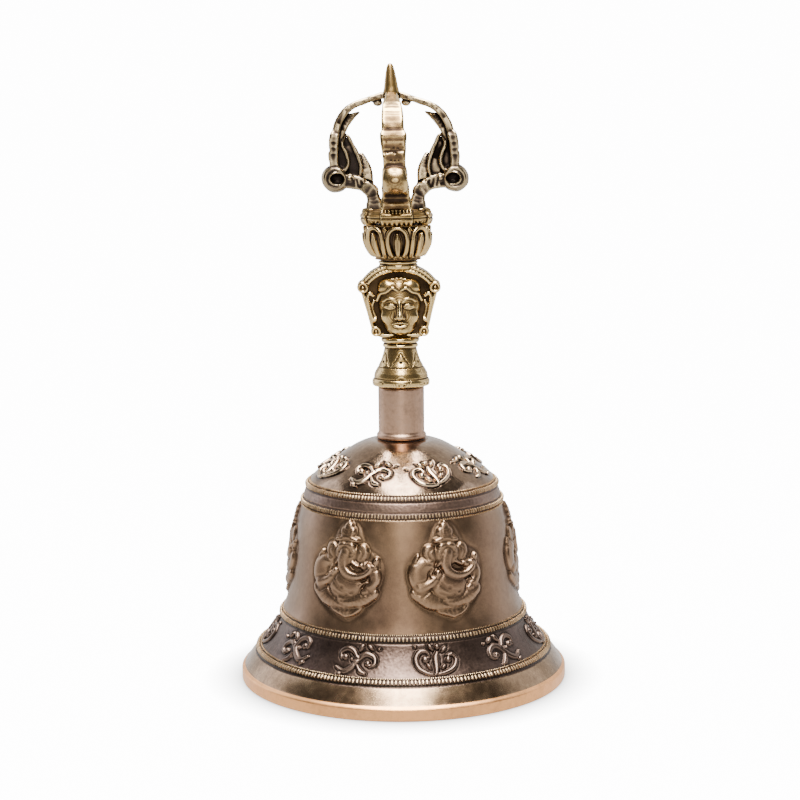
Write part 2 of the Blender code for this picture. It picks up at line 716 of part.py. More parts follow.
def ball_top():
    """Height of the ball's collar above its centre."""
    shoulder = sqrt(BALL_RADIUS**2 - BALL_COLLAR_RADIUS**2)
    return shoulder + BALL_COLLAR_HEIGHT


def ball_profile():
    """A ball with a short collar; the rod's bore is blind and opens at the top."""
    bore = CLAPPER_ROD_RADIUS + BORE_CLEARANCE
    collar_angle = acos(BALL_COLLAR_RADIUS / BALL_RADIUS)
    count = 14
    side = []
    for step in range(count):
        angle = collar_angle - (collar_angle + pi / 2) * step / count
        side.append((BALL_RADIUS * cos(angle), BALL_RADIUS * sin(angle)))
    top = ball_top()
    return [
        (0, top - BALL_BORE_DEPTH),
        (bore, top - BALL_BORE_DEPTH),
        (bore, top),
        (BALL_COLLAR_RADIUS, top),
        *side,
        (0, -BALL_RADIUS),
    ]


def clapper_ball(material, pivot):
    ball = turned("clapper_ball", ball_profile(), material, SMALL_STEPS)
    ball.parent = pivot
    ball.location = (0, 0, BALL_HEIGHT - CLAPPER_PIVOT)


def main():
    clear_scene()
    bronze = metal("bell_bronze", (0.30, 0.21, 0.14), 0.42)
    neck_bronze = metal("neck_bronze", (0.36, 0.26, 0.20), 0.38)
    brass = metal("handle_brass", (0.50, 0.37, 0.17), 0.33)
    steel = metal("hanger_steel", (0.42, 0.41, 0.40), 0.35)
    clapper_brass = metal("clapper_brass", (0.48, 0.36, 0.20), 0.35)

    turned("bell_shell", bell_profile(), bronze)
    turned("neck_sleeve", sleeve_profile(), neck_bronze, SMALL_STEPS, SLEEVE_FOOT)
    head_column(brass)
    turned("lotus_cup", lotus_profile(), brass, SMALL_STEPS, LOTUS_FOOT)
    plinth = turned("prong_plinth", plinth_profile(), brass, SMALL_STEPS, PLINTH_FOOT)
    combine(plinth, peg_holes(), "DIFFERENCE")
    prongs(brass)
    turned("centre_spire", spire_profile(), brass, 16)

    turned("crown_washer", washer_profile(), steel, SMALL_STEPS)
    hanger_nut(steel)
    eye_bolt(steel)
    hanger_link(steel)
    pivot = clapper_pivot()
    clapper_rod(steel, pivot)
    clapper_ball(clapper_brass, pivot)


main()
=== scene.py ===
"""Tibetan hand bell: the looks of the bell, built round its CAD frame. Sizes here are in millimetres."""

import math

import bpy
import numpy as np
from mathutils import Matrix, Vector


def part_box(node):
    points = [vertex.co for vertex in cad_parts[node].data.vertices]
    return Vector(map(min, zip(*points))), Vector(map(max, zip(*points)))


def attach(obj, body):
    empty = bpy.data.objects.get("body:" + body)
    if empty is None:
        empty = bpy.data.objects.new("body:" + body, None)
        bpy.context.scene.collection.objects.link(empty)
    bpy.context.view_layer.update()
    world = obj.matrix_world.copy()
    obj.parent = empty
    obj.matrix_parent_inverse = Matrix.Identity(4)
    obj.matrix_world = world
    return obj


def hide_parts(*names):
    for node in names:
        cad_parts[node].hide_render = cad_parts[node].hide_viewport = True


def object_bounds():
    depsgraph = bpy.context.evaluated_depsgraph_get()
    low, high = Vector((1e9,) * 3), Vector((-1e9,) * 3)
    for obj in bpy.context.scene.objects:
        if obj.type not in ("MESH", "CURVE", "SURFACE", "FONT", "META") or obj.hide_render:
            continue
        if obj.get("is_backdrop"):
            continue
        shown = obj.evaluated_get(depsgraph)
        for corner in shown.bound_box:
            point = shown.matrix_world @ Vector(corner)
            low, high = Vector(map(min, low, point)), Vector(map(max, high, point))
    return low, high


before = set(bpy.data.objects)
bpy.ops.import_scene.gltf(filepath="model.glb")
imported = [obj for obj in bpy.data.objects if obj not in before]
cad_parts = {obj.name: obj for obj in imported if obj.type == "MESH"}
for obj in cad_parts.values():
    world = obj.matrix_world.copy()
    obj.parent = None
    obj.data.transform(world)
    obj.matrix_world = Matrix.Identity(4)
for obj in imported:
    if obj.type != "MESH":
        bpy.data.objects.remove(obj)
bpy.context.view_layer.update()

MM = 0.001
TAU = math.tau
FAR = 1e3
TINY = 1e-9


# Numbers and curves


def curve(points, steps=8, closed=False):
    """Points on a smooth line through the given ones, which may have any number of columns."""
    given = np.asarray(points, float)
    if closed:
        given = np.vstack([given[-1], given, given[:2]])
    else:
        given = np.vstack([2 * given[0] - given[1], given, 2 * given[-1] - given[-2]])
    t = np.linspace(0, 1, steps, endpoint=False)[:, None]
    runs = []
    for a, b, c, d in zip(given, given[1:], given[2:], given[3:]):
        bend = (2 * a - 5 * b + 4 * c - d) * t**2
        twist = (3 * b - a - 3 * c + d) * t**3
        runs.append((2 * b + (c - a) * t + bend + twist) / 2)
    if not closed:
        runs.append(given[-2][None])
    return np.vstack(runs)


def spaced(points, step):
    """The same line with its points spaced evenly, about step apart."""
    points = np.asarray(points, float)
    lengths = np.linalg.norm(np.diff(points, axis=0), axis=1)
    along = np.concatenate([[0], np.cumsum(lengths)])
    count = max(2, round(along[-1] / step) + 1)
    at = np.linspace(0, along[-1], count)
    return np.column_stack([np.interp(at, along, column) for column in points.T])


def outward(line):
    """Unit normals of a line of (radius, height) that runs down the outside."""
    run = np.gradient(line, axis=0)
    run /= np.linalg.norm(run, axis=1)[:, None]
    return np.column_stack([-run[:, 1], run[:, 0]])


def soften(values, reach):
    """The average over 2 * reach + 1 points along every axis."""
    width = 2 * reach + 1
    for axis in range(values.ndim):
        pad = [(0, 0)] * values.ndim
        pad[axis] = (reach + 1, reach)
        total = np.cumsum(np.pad(values, pad, mode="edge"), axis=axis, dtype=np.float64)
        upper = np.take(total, range(width, total.shape[axis]), axis)
        lower = np.take(total, range(total.shape[axis] - width), axis)
        values = ((upper - lower) / width).astype(np.float32)
    return values


WAVES = 14
WAVES_AT_ONE = 4


def ripple(points, size, seed):
    """A smooth random value near -1 to 1 at each point, with bumps about size across."""
    rng = np.random.default_rng(seed)
    total = np.zeros(len(points))
    for _ in range(WAVES):
        way = rng.normal(size=3)
        way *= TAU / (np.linalg.norm(way) * size * rng.uniform(0.8, 1.6))
        total += np.sin(points @ way + rng.uniform(0, TAU))
    return total / WAVES_AT_ONE


def standing(height, shares):
    """How far a height map stands above its average nearby, summed over (share, reach) pairs."""
    return sum(share * (height - soften(height, reach)) for share, reach in shares)


# Height maps


MOAT_AT = 0.12
MOAT_WIDTH = 0.32


class Relief:
    """A height map over a patch; shapes are raised from it and cut into it."""

    def __init__(self, across, along):
        self.x = across
        self.y = along
        self.height = np.zeros(np.broadcast(across, along).shape)
        self.tarnish = np.zeros_like(self.height)

    def _lay(self, border, top, moat):
        """Raises the map to top where border is negative, with a narrow moat along its outline."""
        self.height -= moat * np.clip(1 - np.abs(border - MOAT_AT) / MOAT_WIDTH, 0, 1)
        self.height = np.where(border < 0, np.maximum(self.height, top), self.height)

    def dome(self, x, y, wide, tall, rise, turn=0.0, base=0.0, moat=0.3):
        """A rounded oval knob; wide and tall are its half sizes."""
        dx = self.x - x
        dy = self.y - y
        c, s = math.cos(turn), math.sin(turn)
        q = np.hypot((dx * c + dy * s) / wide, (dy * c - dx * s) / tall)
        top = base + rise * np.sqrt(np.clip(1 - q * q, 0, 1))
        self._lay((q - 1) * min(wide, tall), top, moat)

    def nearest(self, line, radii):
        """Distance to a line over its radius there, that radius, and the way along the line."""
        best = np.full(self.height.shape, FAR)
        radius = np.ones_like(best)
        along = np.zeros_like(best)
        done = 0.0
        for a, b, ra, rb in zip(line, line[1:], radii, radii[1:]):
            run = b - a
            length = float(np.hypot(*run))
            dx = self.x - a[0]
            dy = self.y - a[1]
            t = np.clip((dx * run[0] + dy * run[1]) / max(length**2, TINY), 0, 1)
            here = ra + (rb - ra) * t
            q = np.hypot(dx - run[0] * t, dy - run[1] * t) / here
            closer = q < best
            best = np.where(closer, q, best)
            radius = np.where(closer, here, radius)
            along = np.where(closer, done + length * t, along)
            done += length
        return best, radius, along

    def stroke(self, stations, rise, base=0.0, moat=0.3, ribs=0.0, pitch=0.8):
        """A rounded ridge through stations (x, y, radius); ribs are creases across it, pitch apart."""
        line = curve(stations, 6)
        q, radius, along = self.nearest(line[:, :2], line[:, 2])
        top = base + rise * np.sqrt(np.clip(1 - q**2, 0, 1))
        if ribs:
            top -= ribs * (0.5 + 0.5 * np.cos(TAU * along / pitch)) * np.clip(1.4 - q, 0, 1)
        self._lay((q - 1) * radius, top, moat)

    def groove(self, stations, depth):
        """A soft cut through stations (x, y, half width)."""
        line = curve(stations, 6)
        q, _, _ = self.nearest(line[:, :2], line[:, 2])
        self.height -= depth * np.exp(-(q**2) * 1.5)

    def beads(self, stations, radius, rise, base=0.0, pitch=None):
        """A string of small round beads through stations (x, y)."""
        pitch = pitch or radius * 2.1
        for x, y in spaced(curve(stations, 6), pitch):
            self.dome(x, y, radius, radius, rise, base=base, moat=0.12)


# Solids on a grid


EMPTY = 9.0
MARGIN_CELLS = 5
PROUD_SIZES = ((0.35, 1.0), (1.1, 0.8))


class Solid:
    """A signed distance to a surface on a grid; it is negative inside."""

    def __init__(self, low, high, step):
        self.step = step
        self.axes = [np.arange(a, b + step, step, dtype=np.float32) for a, b in zip(low, high)]
        self.field = np.full([len(axis) for axis in self.axes], EMPTY, np.float32)

    def put(self, distance, low, high, blend=0.0, cut=False):
        """Joins or cuts a shape, given by a function of x, y and z, inside a box; blend rounds the joint."""
        reach = blend + MARGIN_CELLS * self.step
        part = []
        for axis, a, b in zip(self.axes, low, high):
            start = max(0, int(np.searchsorted(axis, a - reach)) - 1)
            part.append(slice(start, int(np.searchsorted(axis, b + reach)) + 1))
        part = tuple(part)
        near = [axis[stretch] for axis, stretch in zip(self.axes, part)]
        if min(len(axis) for axis in near) == 0:
            return
        new = distance(*np.ix_(*near)).astype(np.float32)
        old = self.field[part]
        sign = 1.0
        if cut:
            new, sign = -new, -1.0
        a, b = sign * old, sign * new
        if blend > 0:
            share = np.clip(0.5 + 0.5 * (b - a) / blend, 0, 1)
            both = b + (a - b) * share - blend * share * (1 - share)
        else:
            both = np.minimum(a, b)
        self.field[part] = sign * both

    def ball(self, centre, radii, **how):
        """An ellipsoid, or a ball where one radius is given."""
        radii = np.broadcast_to(radii, 3).astype(float)
        reach = max(radii)

        def distance(*point):
            p = [value - middle for value, middle in zip(point, centre)]
            k0 = np.sqrt(sum((v / r) ** 2 for v, r in zip(p, radii)))
            k1 = np.sqrt(sum((v / r**2) ** 2 for v, r in zip(p, radii)))
            return k0 * (k0 - 1) / np.maximum(k1, 1e-6)

        self.put(distance, np.array(centre) - reach, np.array(centre) + reach, **how)

    def rod(self, start, end, radius, end_radius=None, **how):
        """A round bar with round ends, which may taper."""
        a, b = np.array(start, float), np.array(end, float)
        end_radius = radius if end_radius is None else end_radius
        run = b - a
        square = max(float(run @ run), TINY)
        reach = max(radius, end_radius)

        def distance(x, y, z):
            t = ((x - a[0]) * run[0] + (y - a[1]) * run[1] + (z - a[2]) * run[2]) / square
            t = np.clip(t, 0, 1)
            off = [v - a[i] - run[i] * t for i, v in enumerate((x, y, z))]
            gap = np.sqrt(off[0] ** 2 + off[1] ** 2 + off[2] ** 2)
            return gap - (radius + (end_radius - radius) * t)

        self.put(distance, np.minimum(a, b) - reach, np.maximum(a, b) + reach, **how)

    def tube(self, stations, steps=5, **how):
        """A smooth bar through stations (x, y, z, radius)."""
        line = curve(stations, steps)
        for a, b in zip(line, line[1:]):
            self.rod(a[:3], b[:3], a[3], b[3], **how)

    def plate(self, stations, steps=6, edge=0.4, **how):
        """A flat bar bent in the XZ plane through stations (x, z, half thickness, half width)."""
        line = curve(stations, steps)
        reach = line[:, 2].max()
        wide = line[:, 3].max()

        def distance(x, y, z):
            best = np.full(np.broadcast(x, z).shape, FAR)
            width = np.zeros_like(best)
            for a, b in zip(line, line[1:]):
                run = b[:2] - a[:2]
                t = ((x - a[0]) * run[0] + (z - a[1]) * run[1]) / max(float(run @ run), TINY)
                t = np.clip(t, 0, 1)
                gap = np.hypot(x - a[0] - run[0] * t, z - a[1] - run[1] * t)
                gap = gap - (a[2] + (b[2] - a[2]) * t)
                width = np.where(gap < best, a[3] + (b[3] - a[3]) * t, width)
                best = np.minimum(best, gap)
            inset = np.minimum(edge, width * 0.9)
            flat = best + inset
            side = np.abs(y) - width + inset
            outside = np.hypot(np.maximum(flat, 0), np.maximum(side, 0))
            return outside + np.minimum(np.maximum(flat, side), 0) - inset

        low = (line[:, 0].min() - reach, -wide, line[:, 1].min() - reach)
        high = (line[:, 0].max() + reach, wide, line[:, 1].max() + reach)
        self.put(distance, low, high, **how)

    def ring(self, centre, radius, bar, axis=1, squash=1.0, **how):
        """A torus about one axis; squash widens its bar along that axis."""
        first, second = [i for i in range(3) if i != axis]
        reach = np.full(3, radius + bar)
        reach[axis] = bar * squash

        def distance(*point):
            p = [value - middle for value, middle in zip(point, centre)]
            return np.hypot(np.hypot(p[first], p[second]) - radius, p[axis] / squash) - bar

        self.put(distance, np.array(centre) - reach, np.array(centre) + reach, **how)

    def turned(self, outline, **how):
        """A solid of revolution about Z, from (radius, height) upwards."""
        outline = np.asarray(outline, float)
        reach = outline[:, 0].max()

        def distance(x, y, z):
            radius = np.interp(z, outline[:, 1], outline[:, 0])
            side = np.hypot(x, y) - radius
            ends = np.maximum(outline[0, 1] - z, z - outline[-1, 1])
            return np.maximum(side, ends)

        low = (-reach, -reach, outline[0, 1])
        high = (reach, reach, outline[-1, 1])
        self.put(distance, low, high, **how)

    def surface(self):
        """Points, four-sided faces, and how proud each point stands of what is round it.

        There is one point in each cell that the surface crosses, at the mean of its crossings.
        """
        field = self.field
        inside = field < 0
        shape = [n - 1 for n in field.shape]
        count = np.zeros(shape, np.uint8)
        corners = [(i, j, k) for i in (0, 1) for j in (0, 1) for k in (0, 1)]
        for i, j, k in corners:
            count += inside[i : i + shape[0], j : j + shape[1], k : k + shape[2]]
        active = (count > 0) & (count < 8)
        cells = np.argwhere(active)
        index = np.full(shape, -1, np.int64)
        index[active] = np.arange(len(cells))
        total = np.zeros((len(cells), 3))
        hits = np.zeros(len(cells))
        for corner in corners:
            for axis in range(3):
                if corner[axis]:
                    continue
                a = field[tuple((cells + corner).T)]
                step = np.eye(3, dtype=int)[axis]
                b = field[tuple((cells + corner + step).T)]
                crossed = (a < 0) != (b < 0)
                t = a[crossed] / (a[crossed] - b[crossed])
                total[crossed] += np.array(corner) + t[:, None] * step
                hits[crossed] += 1
        low = np.array([axis[0] for axis in self.axes])
        points = low + self.step * (cells + total / hits[:, None])
        faces = []
        for axis in range(3):
            second, third = (axis + 1) % 3, (axis + 2) % 3
            before = np.take(inside, range(field.shape[axis] - 1), axis)
            after = np.take(inside, range(1, field.shape[axis]), axis)
            at = np.argwhere(before != after)
            at = at[(at[:, second] > 0) & (at[:, third] > 0)]
            unit = np.eye(3, dtype=int)
            around = [at, at - unit[second], at - unit[second] - unit[third], at - unit[third]]
            keep = np.all([np.all(cell < shape, axis=1) for cell in around], axis=0)
            quads = np.column_stack([index[tuple(cell[keep].T)] for cell in around])
            outwards = before[tuple(at[keep].T)]
            faces.append(np.where(outwards[:, None], quads, quads[:, ::-1]))
        faces = np.vstack(faces)
        faces = faces[(faces >= 0).all(axis=1)]
        filled = np.clip(0.5 - field / self.step, 0, 1).astype(np.float32)
        proud = np.zeros(len(cells))
        for size, share in PROUD_SIZES:
            blurred = soften(filled, max(1, round(size / self.step)))
            near = [blurred[tuple((cells + corner).T)] for corner in corners]
            proud += share * (0.5 - np.mean(near, axis=0))
        return points, faces, proud


# Meshes


def add_piece(name, points, faces, material, body, slot, replaces=(), proud=None):
    """One object of the bell, from points in millimetres; proud is kept on its points for its finish."""
    mesh = bpy.data.meshes.new(name)
    points = np.asarray(points, float) * MM
    faces = np.asarray(faces, np.int32)
    mesh.vertices.add(len(points))
    mesh.vertices.foreach_set("co", points.astype(np.float32).ravel())
    mesh.loops.add(faces.size)
    mesh.loops.foreach_set("vertex_index", faces.ravel())
    mesh.polygons.add(len(faces))
    mesh.polygons.foreach_set("loop_start", np.arange(0, faces.size, faces.shape[1], dtype=np.int32))
    mesh.polygons.foreach_set("use_smooth", np.ones(len(faces), bool))
    worn = mesh.attributes.new("proud", "FLOAT", "POINT")
    values = np.zeros(len(points)) if proud is None else np.asarray(proud)
    worn.data.foreach_set("value", values.astype(np.float32))
    mesh.update(calc_edges=True)
    mesh.validate()
    mesh.materials.append(material)
    made = bpy.data.objects.new(name, mesh)
    bpy.context.scene.collection.objects.link(made)
    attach(made, body)
    if replaces:
        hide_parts(*replaces)
    return made


def grid_faces(rows, columns, closed=False):
    """Four-sided faces of a grid of points, row by row."""
    across = columns if closed else columns - 1
    i, j = np.meshgrid(np.arange(rows - 1), np.arange(across), indexing="ij")
    after = (j + 1) % columns
    quads = [i * columns + j, (i + 1) * columns + j, (i + 1) * columns + after, i * columns + after]
    return np.stack([quad.ravel() for quad in quads], axis=1)


def wrapped(line, normals, angles, height):
    """Points on a turned surface whose line runs down, at angles from the front, raised by height."""
    radius = line[:, :1] + normals[:, :1] * height
    level = line[:, 1:] + normals[:, 1:] * height
    x = radius * np.sin(angles)
    y = -radius * np.cos(angles)
    return np.stack([x, y, level + 0 * x], axis=-1).reshape(-1, 3)


COLLAR_LEVEL = 81.0
TIP_LEVEL = 167.7
TIP_LEAN = 2.2
LEAN_BEND = 1.6


def leaned(points):
    """The handle's slight lean to the left, which grows from the collar to the tip."""
    rise = np.clip((points[:, 2] - COLLAR_LEVEL) / (TIP_LEVEL - COLLAR_LEVEL), 0, 1)
    moved = points.copy()
    moved[:, 0] -= TIP_LEAN * rise**LEAN_BEND
    return moved


def turned_piece(name, line, material, body, slot, steps=256, step=0.35, lean=False, **how):
    """A plain turned surface; the line of (radius, height) runs down its outside."""
    line = spaced(line, step)
    angles = np.arange(steps)[None] * TAU / steps
    points = wrapped(line, outward(line), angles, np.zeros((len(line), steps)))
    if lean:
        points = leaned(points)
    return add_piece(name, points, grid_faces(len(line), steps, True), material, body, slot, **how)


# Finishes


def shader_node(tree, kind, sockets=None, **settings):
    """A shader node with its settings made; a socket takes a value or another node's output."""
    made = tree.nodes.new("ShaderNode" + kind)
    for key, value in settings.items():
        setattr(made, key, value)
    for key, value in (sockets or {}).items():
        if isinstance(value, bpy.types.NodeSocket):
            tree.links.new(value, made.inputs[key])
        else:
            made.inputs[key].default_value = value
    return made


def colour_ramp(tree, factor, stops):
    """A colour that runs through (place, colour) stops."""
    made = shader_node(tree, "ValToRGB", {"Fac": factor})
    elements = made.color_ramp.elements
    while len(elements) < len(stops):
        elements.new(0.5)
    for element, (place, colour) in zip(elements, stops):
        element.position = place
        element.color = (*colour, 1)
    return made.outputs["Color"]


def spread(tree, value, low, high, to_low=0.0, to_high=1.0):
    """The value mapped from one range to another and kept inside it."""
    ranges = {"Value": value, "From Min": low, "From Max": high, "To Min": to_low, "To Max": to_high}
    return shader_node(tree, "MapRange", ranges).outputs["Result"]


def sum_of(tree, first, second):
    return shader_node(tree, "Math", {0: first, 1: second}, operation="ADD").outputs["Value"]


def product_of(tree, first, second):
    return shader_node(tree, "Math", {0: first, 1: second}, operation="MULTIPLY").outputs["Value"]


def noise(tree, where, scale, detail=3.0, rough=0.55):
    sockets = {"Vector": where, "Scale": scale, "Detail": detail, "Roughness": rough}
    return shader_node(tree, "TexNoise", sockets).outputs["Fac"]


# The colour sockets of a Mix node share their names with its number sockets, so they go by place.
MIX_FACTOR, MIX_FIRST, MIX_SECOND, MIX_RESULT = 0, 6, 7, 2
PROUD_RANGE = 0.11
LOW_MIX = 0.45
LATHE_STRETCH = (14.0, 14.0, 2600.0)
BUMP_DEPTH = 0.00012


def metal(
    name, dark, base, bright, rough, stain=None, grain=0.25, turning=0.0, sharp=1.0, blotch=0.35, shift=0.0
):
    """Cast or turned metal, dark where it lies low and rubbed bright where it stands proud.

    rough is (on the high places, in the recesses); stain is the colour of cloudy patches and blotch their
    strength; grain and turning are the strengths of the fine pits and the lathe lines; sharp narrows the
    step from dark to bright, and shift moves it.
    """
    made = bpy.data.materials.new(name)
    made.use_nodes = True
    tree = made.node_tree
    shader = tree.nodes["Principled BSDF"]
    place = shader_node(tree, "TexCoord").outputs["Object"]
    proud = shader_node(tree, "Attribute", attribute_name="proud").outputs["Fac"]
    patches = noise(tree, place, 90, 5.0, 0.6)
    specks = noise(tree, place, 700, 4.0, 0.65)
    patches = spread(tree, patches, 0.3, 0.7, -0.03, 0.03)
    uneven = sum_of(tree, patches, spread(tree, specks, 0.3, 0.7, -0.025, 0.025))
    reach = PROUD_RANGE / sharp
    worn = spread(tree, sum_of(tree, proud, uneven), -reach + shift, reach + shift)
    low = [LOW_MIX * a + (1 - LOW_MIX) * b for a, b in zip(base, dark)]
    colour = colour_ramp(tree, worn, [(0.0, dark), (0.32, low), (0.52, base), (1.0, bright)])
    if stain is not None:
        cloud = spread(tree, noise(tree, place, 45, 6.0, 0.62), 0.42, 0.66, 0.0, blotch)
        sockets = {MIX_FACTOR: cloud, MIX_FIRST: colour, MIX_SECOND: (*stain, 1)}
        colour = shader_node(tree, "Mix", sockets, data_type="RGBA").outputs[MIX_RESULT]
    tree.links.new(colour, shader.inputs["Base Color"])
    shader.inputs["Metallic"].default_value = 1.0
    level = spread(tree, worn, 0.0, 1.0, rough[1], rough[0])
    smear = spread(tree, noise(tree, place, 260, 4.0), 0.3, 0.7, -0.05, 0.06)
    tree.links.new(sum_of(tree, level, smear), shader.inputs["Roughness"])
    height = spread(tree, noise(tree, place, 1500, 5.0, 0.7), 0.0, 1.0, 0.0, grain)
    if turning:
        rings = shader_node(tree, "Mapping", {"Vector": place, "Scale": LATHE_STRETCH})
        lines = noise(tree, rings.outputs["Vector"], 1.0, 4.0, 0.7)
        height = sum_of(tree, height, spread(tree, lines, 0.0, 1.0, 0.0, turning))
    bump = shader_node(tree, "Bump", {"Strength": 0.35, "Distance": BUMP_DEPTH, "Height": height})
    tree.links.new(bump.outputs["Normal"], shader.inputs["Normal"])
    return made


BRONZE = metal(
    "bell_bronze", (0.09, 0.054, 0.034), (0.213, 0.13, 0.08), (0.33, 0.21, 0.132), (0.28, 0.42),
    stain=(0.22, 0.14, 0.07), grain=0.25, turning=0.15, sharp=0.6,
)
DOME_BRONZE = metal(
    "bell_dome_bronze", (0.04, 0.024, 0.017), (0.26, 0.17, 0.108), (0.54, 0.39, 0.25), (0.15, 0.20),
    stain=(0.25, 0.162, 0.10), grain=0.06, sharp=0.9, blotch=0.1,
)
SHOULDER_BRONZE = metal(
    "bell_shoulder_bronze", (0.05, 0.033, 0.026), (0.19, 0.122, 0.092), (0.34, 0.23, 0.155), (0.32, 0.46),
    stain=(0.16, 0.105, 0.075), grain=0.25, turning=0.2, sharp=0.8,
)
BAND_BRONZE = metal(
    "bell_band_bronze", (0.025, 0.017, 0.013), (0.082, 0.053, 0.041), (0.15, 0.10, 0.074), (0.30, 0.42),
    stain=(0.072, 0.049, 0.04), grain=0.3,
)
LIP_BRONZE = metal(
    "bell_lip_bronze", (0.05, 0.03, 0.018), (0.27, 0.17, 0.098), (0.56, 0.39, 0.22), (0.21, 0.27),
    stain=(0.29, 0.192, 0.10), grain=0.03, turning=0.25, blotch=0.2,
)
RIM_BRONZE = metal(
    "bell_rim_bronze", (0.10, 0.06, 0.04), (0.83, 0.40, 0.155), (0.85, 0.43, 0.18), (0.38, 0.41),
    stain=(0.79, 0.40, 0.17), grain=0.04, turning=0.15, sharp=0.4, blotch=0.1,
)
BEAD_BRONZE = metal(
    "bell_bead_bronze", (0.03, 0.02, 0.014), (0.56, 0.39, 0.225), (0.80, 0.60, 0.36), (0.22, 0.5),
)
NECK_BRONZE = metal(
    "neck_bronze", (0.10, 0.07, 0.05), (0.44, 0.27, 0.175), (0.52, 0.38, 0.29), (0.34, 0.4),
    stain=(0.33, 0.21, 0.15), grain=0.2, turning=0.25,
)
BRASS = metal(
    "handle_brass", (0.008, 0.005, 0.003), (0.36, 0.225, 0.075), (0.82, 0.59, 0.26), (0.16, 0.5),
    stain=(0.22, 0.13, 0.06), grain=0.3, shift=0.012,
)
DARK_BRASS = metal(
    "handle_dark_brass", (0.008, 0.005, 0.004), (0.19, 0.115, 0.045), (0.72, 0.50, 0.21), (0.2, 0.5),
    stain=(0.09, 0.055, 0.035), grain=0.4, blotch=0.6, shift=0.02,
)
# The side prongs' finish: their patina deepened with painted shade, a darker copy of the front prong's
# finish.
SIDE_PRONG_PATINA_AND_SHADE = metal(
    "side_prong_patina_and_painted_shade", (0.006, 0.004, 0.003), (0.10, 0.07, 0.048), (0.54, 0.41, 0.23), (0.22, 0.5),
    stain=(0.045, 0.034, 0.028), grain=0.5, blotch=0.7, shift=0.035,
)
STEEL = metal(
    "hanger_steel", (0.08, 0.07, 0.06), (0.38, 0.37, 0.36), (0.6, 0.59, 0.57), (0.35, 0.5),
    stain=(0.22, 0.16, 0.12), grain=0.4,
)
CLAPPER_BRASS = metal(
    "clapper_brass", (0.08, 0.05, 0.03), (0.46, 0.31, 0.13), (0.7, 0.52, 0.27), (0.3, 0.45),
    stain=(0.34, 0.22, 0.10), grain=0.25, turning=0.3,
)


# Bell body: one line down the outside, cut into zones, each finished in its own way


SKIN_STEP = 0.19
ZONE_OVERLAP = 0.2


SKIN = spaced(
    np.vstack(
        [
            curve(
                [(7.2, 66.2), (9.6, 65.9), (13.0, 64.5), (18.0, 61.3), (22.4, 58.2), (24.6, 56.2),
                 (26.0, 54.2), (26.9, 52.0), (27.4, 49.9), (28.0, 47.4), (28.8, 44.5), (29.6, 40.2),
                 (30.1, 36.4), (30.8, 31.5), (31.6, 26.0), (32.4, 22.0), (33.7, 18.5), (35.4, 15.0),
                 (37.6, 11.8), (40.3, 8.8), (42.2, 6.6), (44.05, 4.0)],
                12,
            ),
            [(44.3, 3.75), (44.75, 3.45), (45.0, 3.1), (45.0, 1.6), (45.0, 0.5), (44.85, 0.15), (44.5, 0.0)],
        ]
    ),
    SKIN_STEP,
)
SKIN_NORMALS = outward(SKIN)
SKIN_ALONG = np.concatenate([[0], np.cumsum(np.linalg.norm(np.diff(SKIN, axis=0), axis=1))])
UPPER_SHOULDER_RING, LOWER_SHOULDER_RING, UPPER_FLARE_RING, LOWER_FLARE_RING = 54.2, 49.9, 18.5, 8.8
# Each bead ring's height and half the width of the channel that it lies in
RINGS = (
    (UPPER_SHOULDER_RING, 0.9), (LOWER_SHOULDER_RING, 0.9),
    (UPPER_FLARE_RING, 1.0), (LOWER_FLARE_RING, 1.0),
)
CHANNEL_EDGE = 0.3
CHANNEL_TARNISH = 0.26
RIDGE_RISE = 0.12
RIDGE_SHARE = 0.8
SIDE_GROOVE = 0.16
SIDE_GROOVE_WIDTH = 0.22


def way_to(level):
    """How far along the skin a height lies."""
    return float(np.interp(-level, -SKIN[:, 1], SKIN_ALONG))


def ring_hollow(along):
    """1 in the shallow channels that the bead rings lie in, and 0 away from them."""
    hollow = np.zeros_like(along)
    for level, width in RINGS:
        hollow += np.clip((width - np.abs(along - way_to(level))) / CHANNEL_EDGE, 0, 1)
    return hollow


def ring_rise(along):
    """The low ridge under each bead ring, with a fine groove on each side of it."""
    rise = np.zeros_like(along)
    for level, width in RINGS:
        off = np.abs(along - way_to(level))
        ridge = RIDGE_RISE * np.sqrt(np.clip(1 - (off / (width * RIDGE_SHARE)) ** 2, 0, 1))
        rise += ridge - SIDE_GROOVE * np.exp(-(((off - width) / SIDE_GROOVE_WIDTH) ** 2))
    return rise


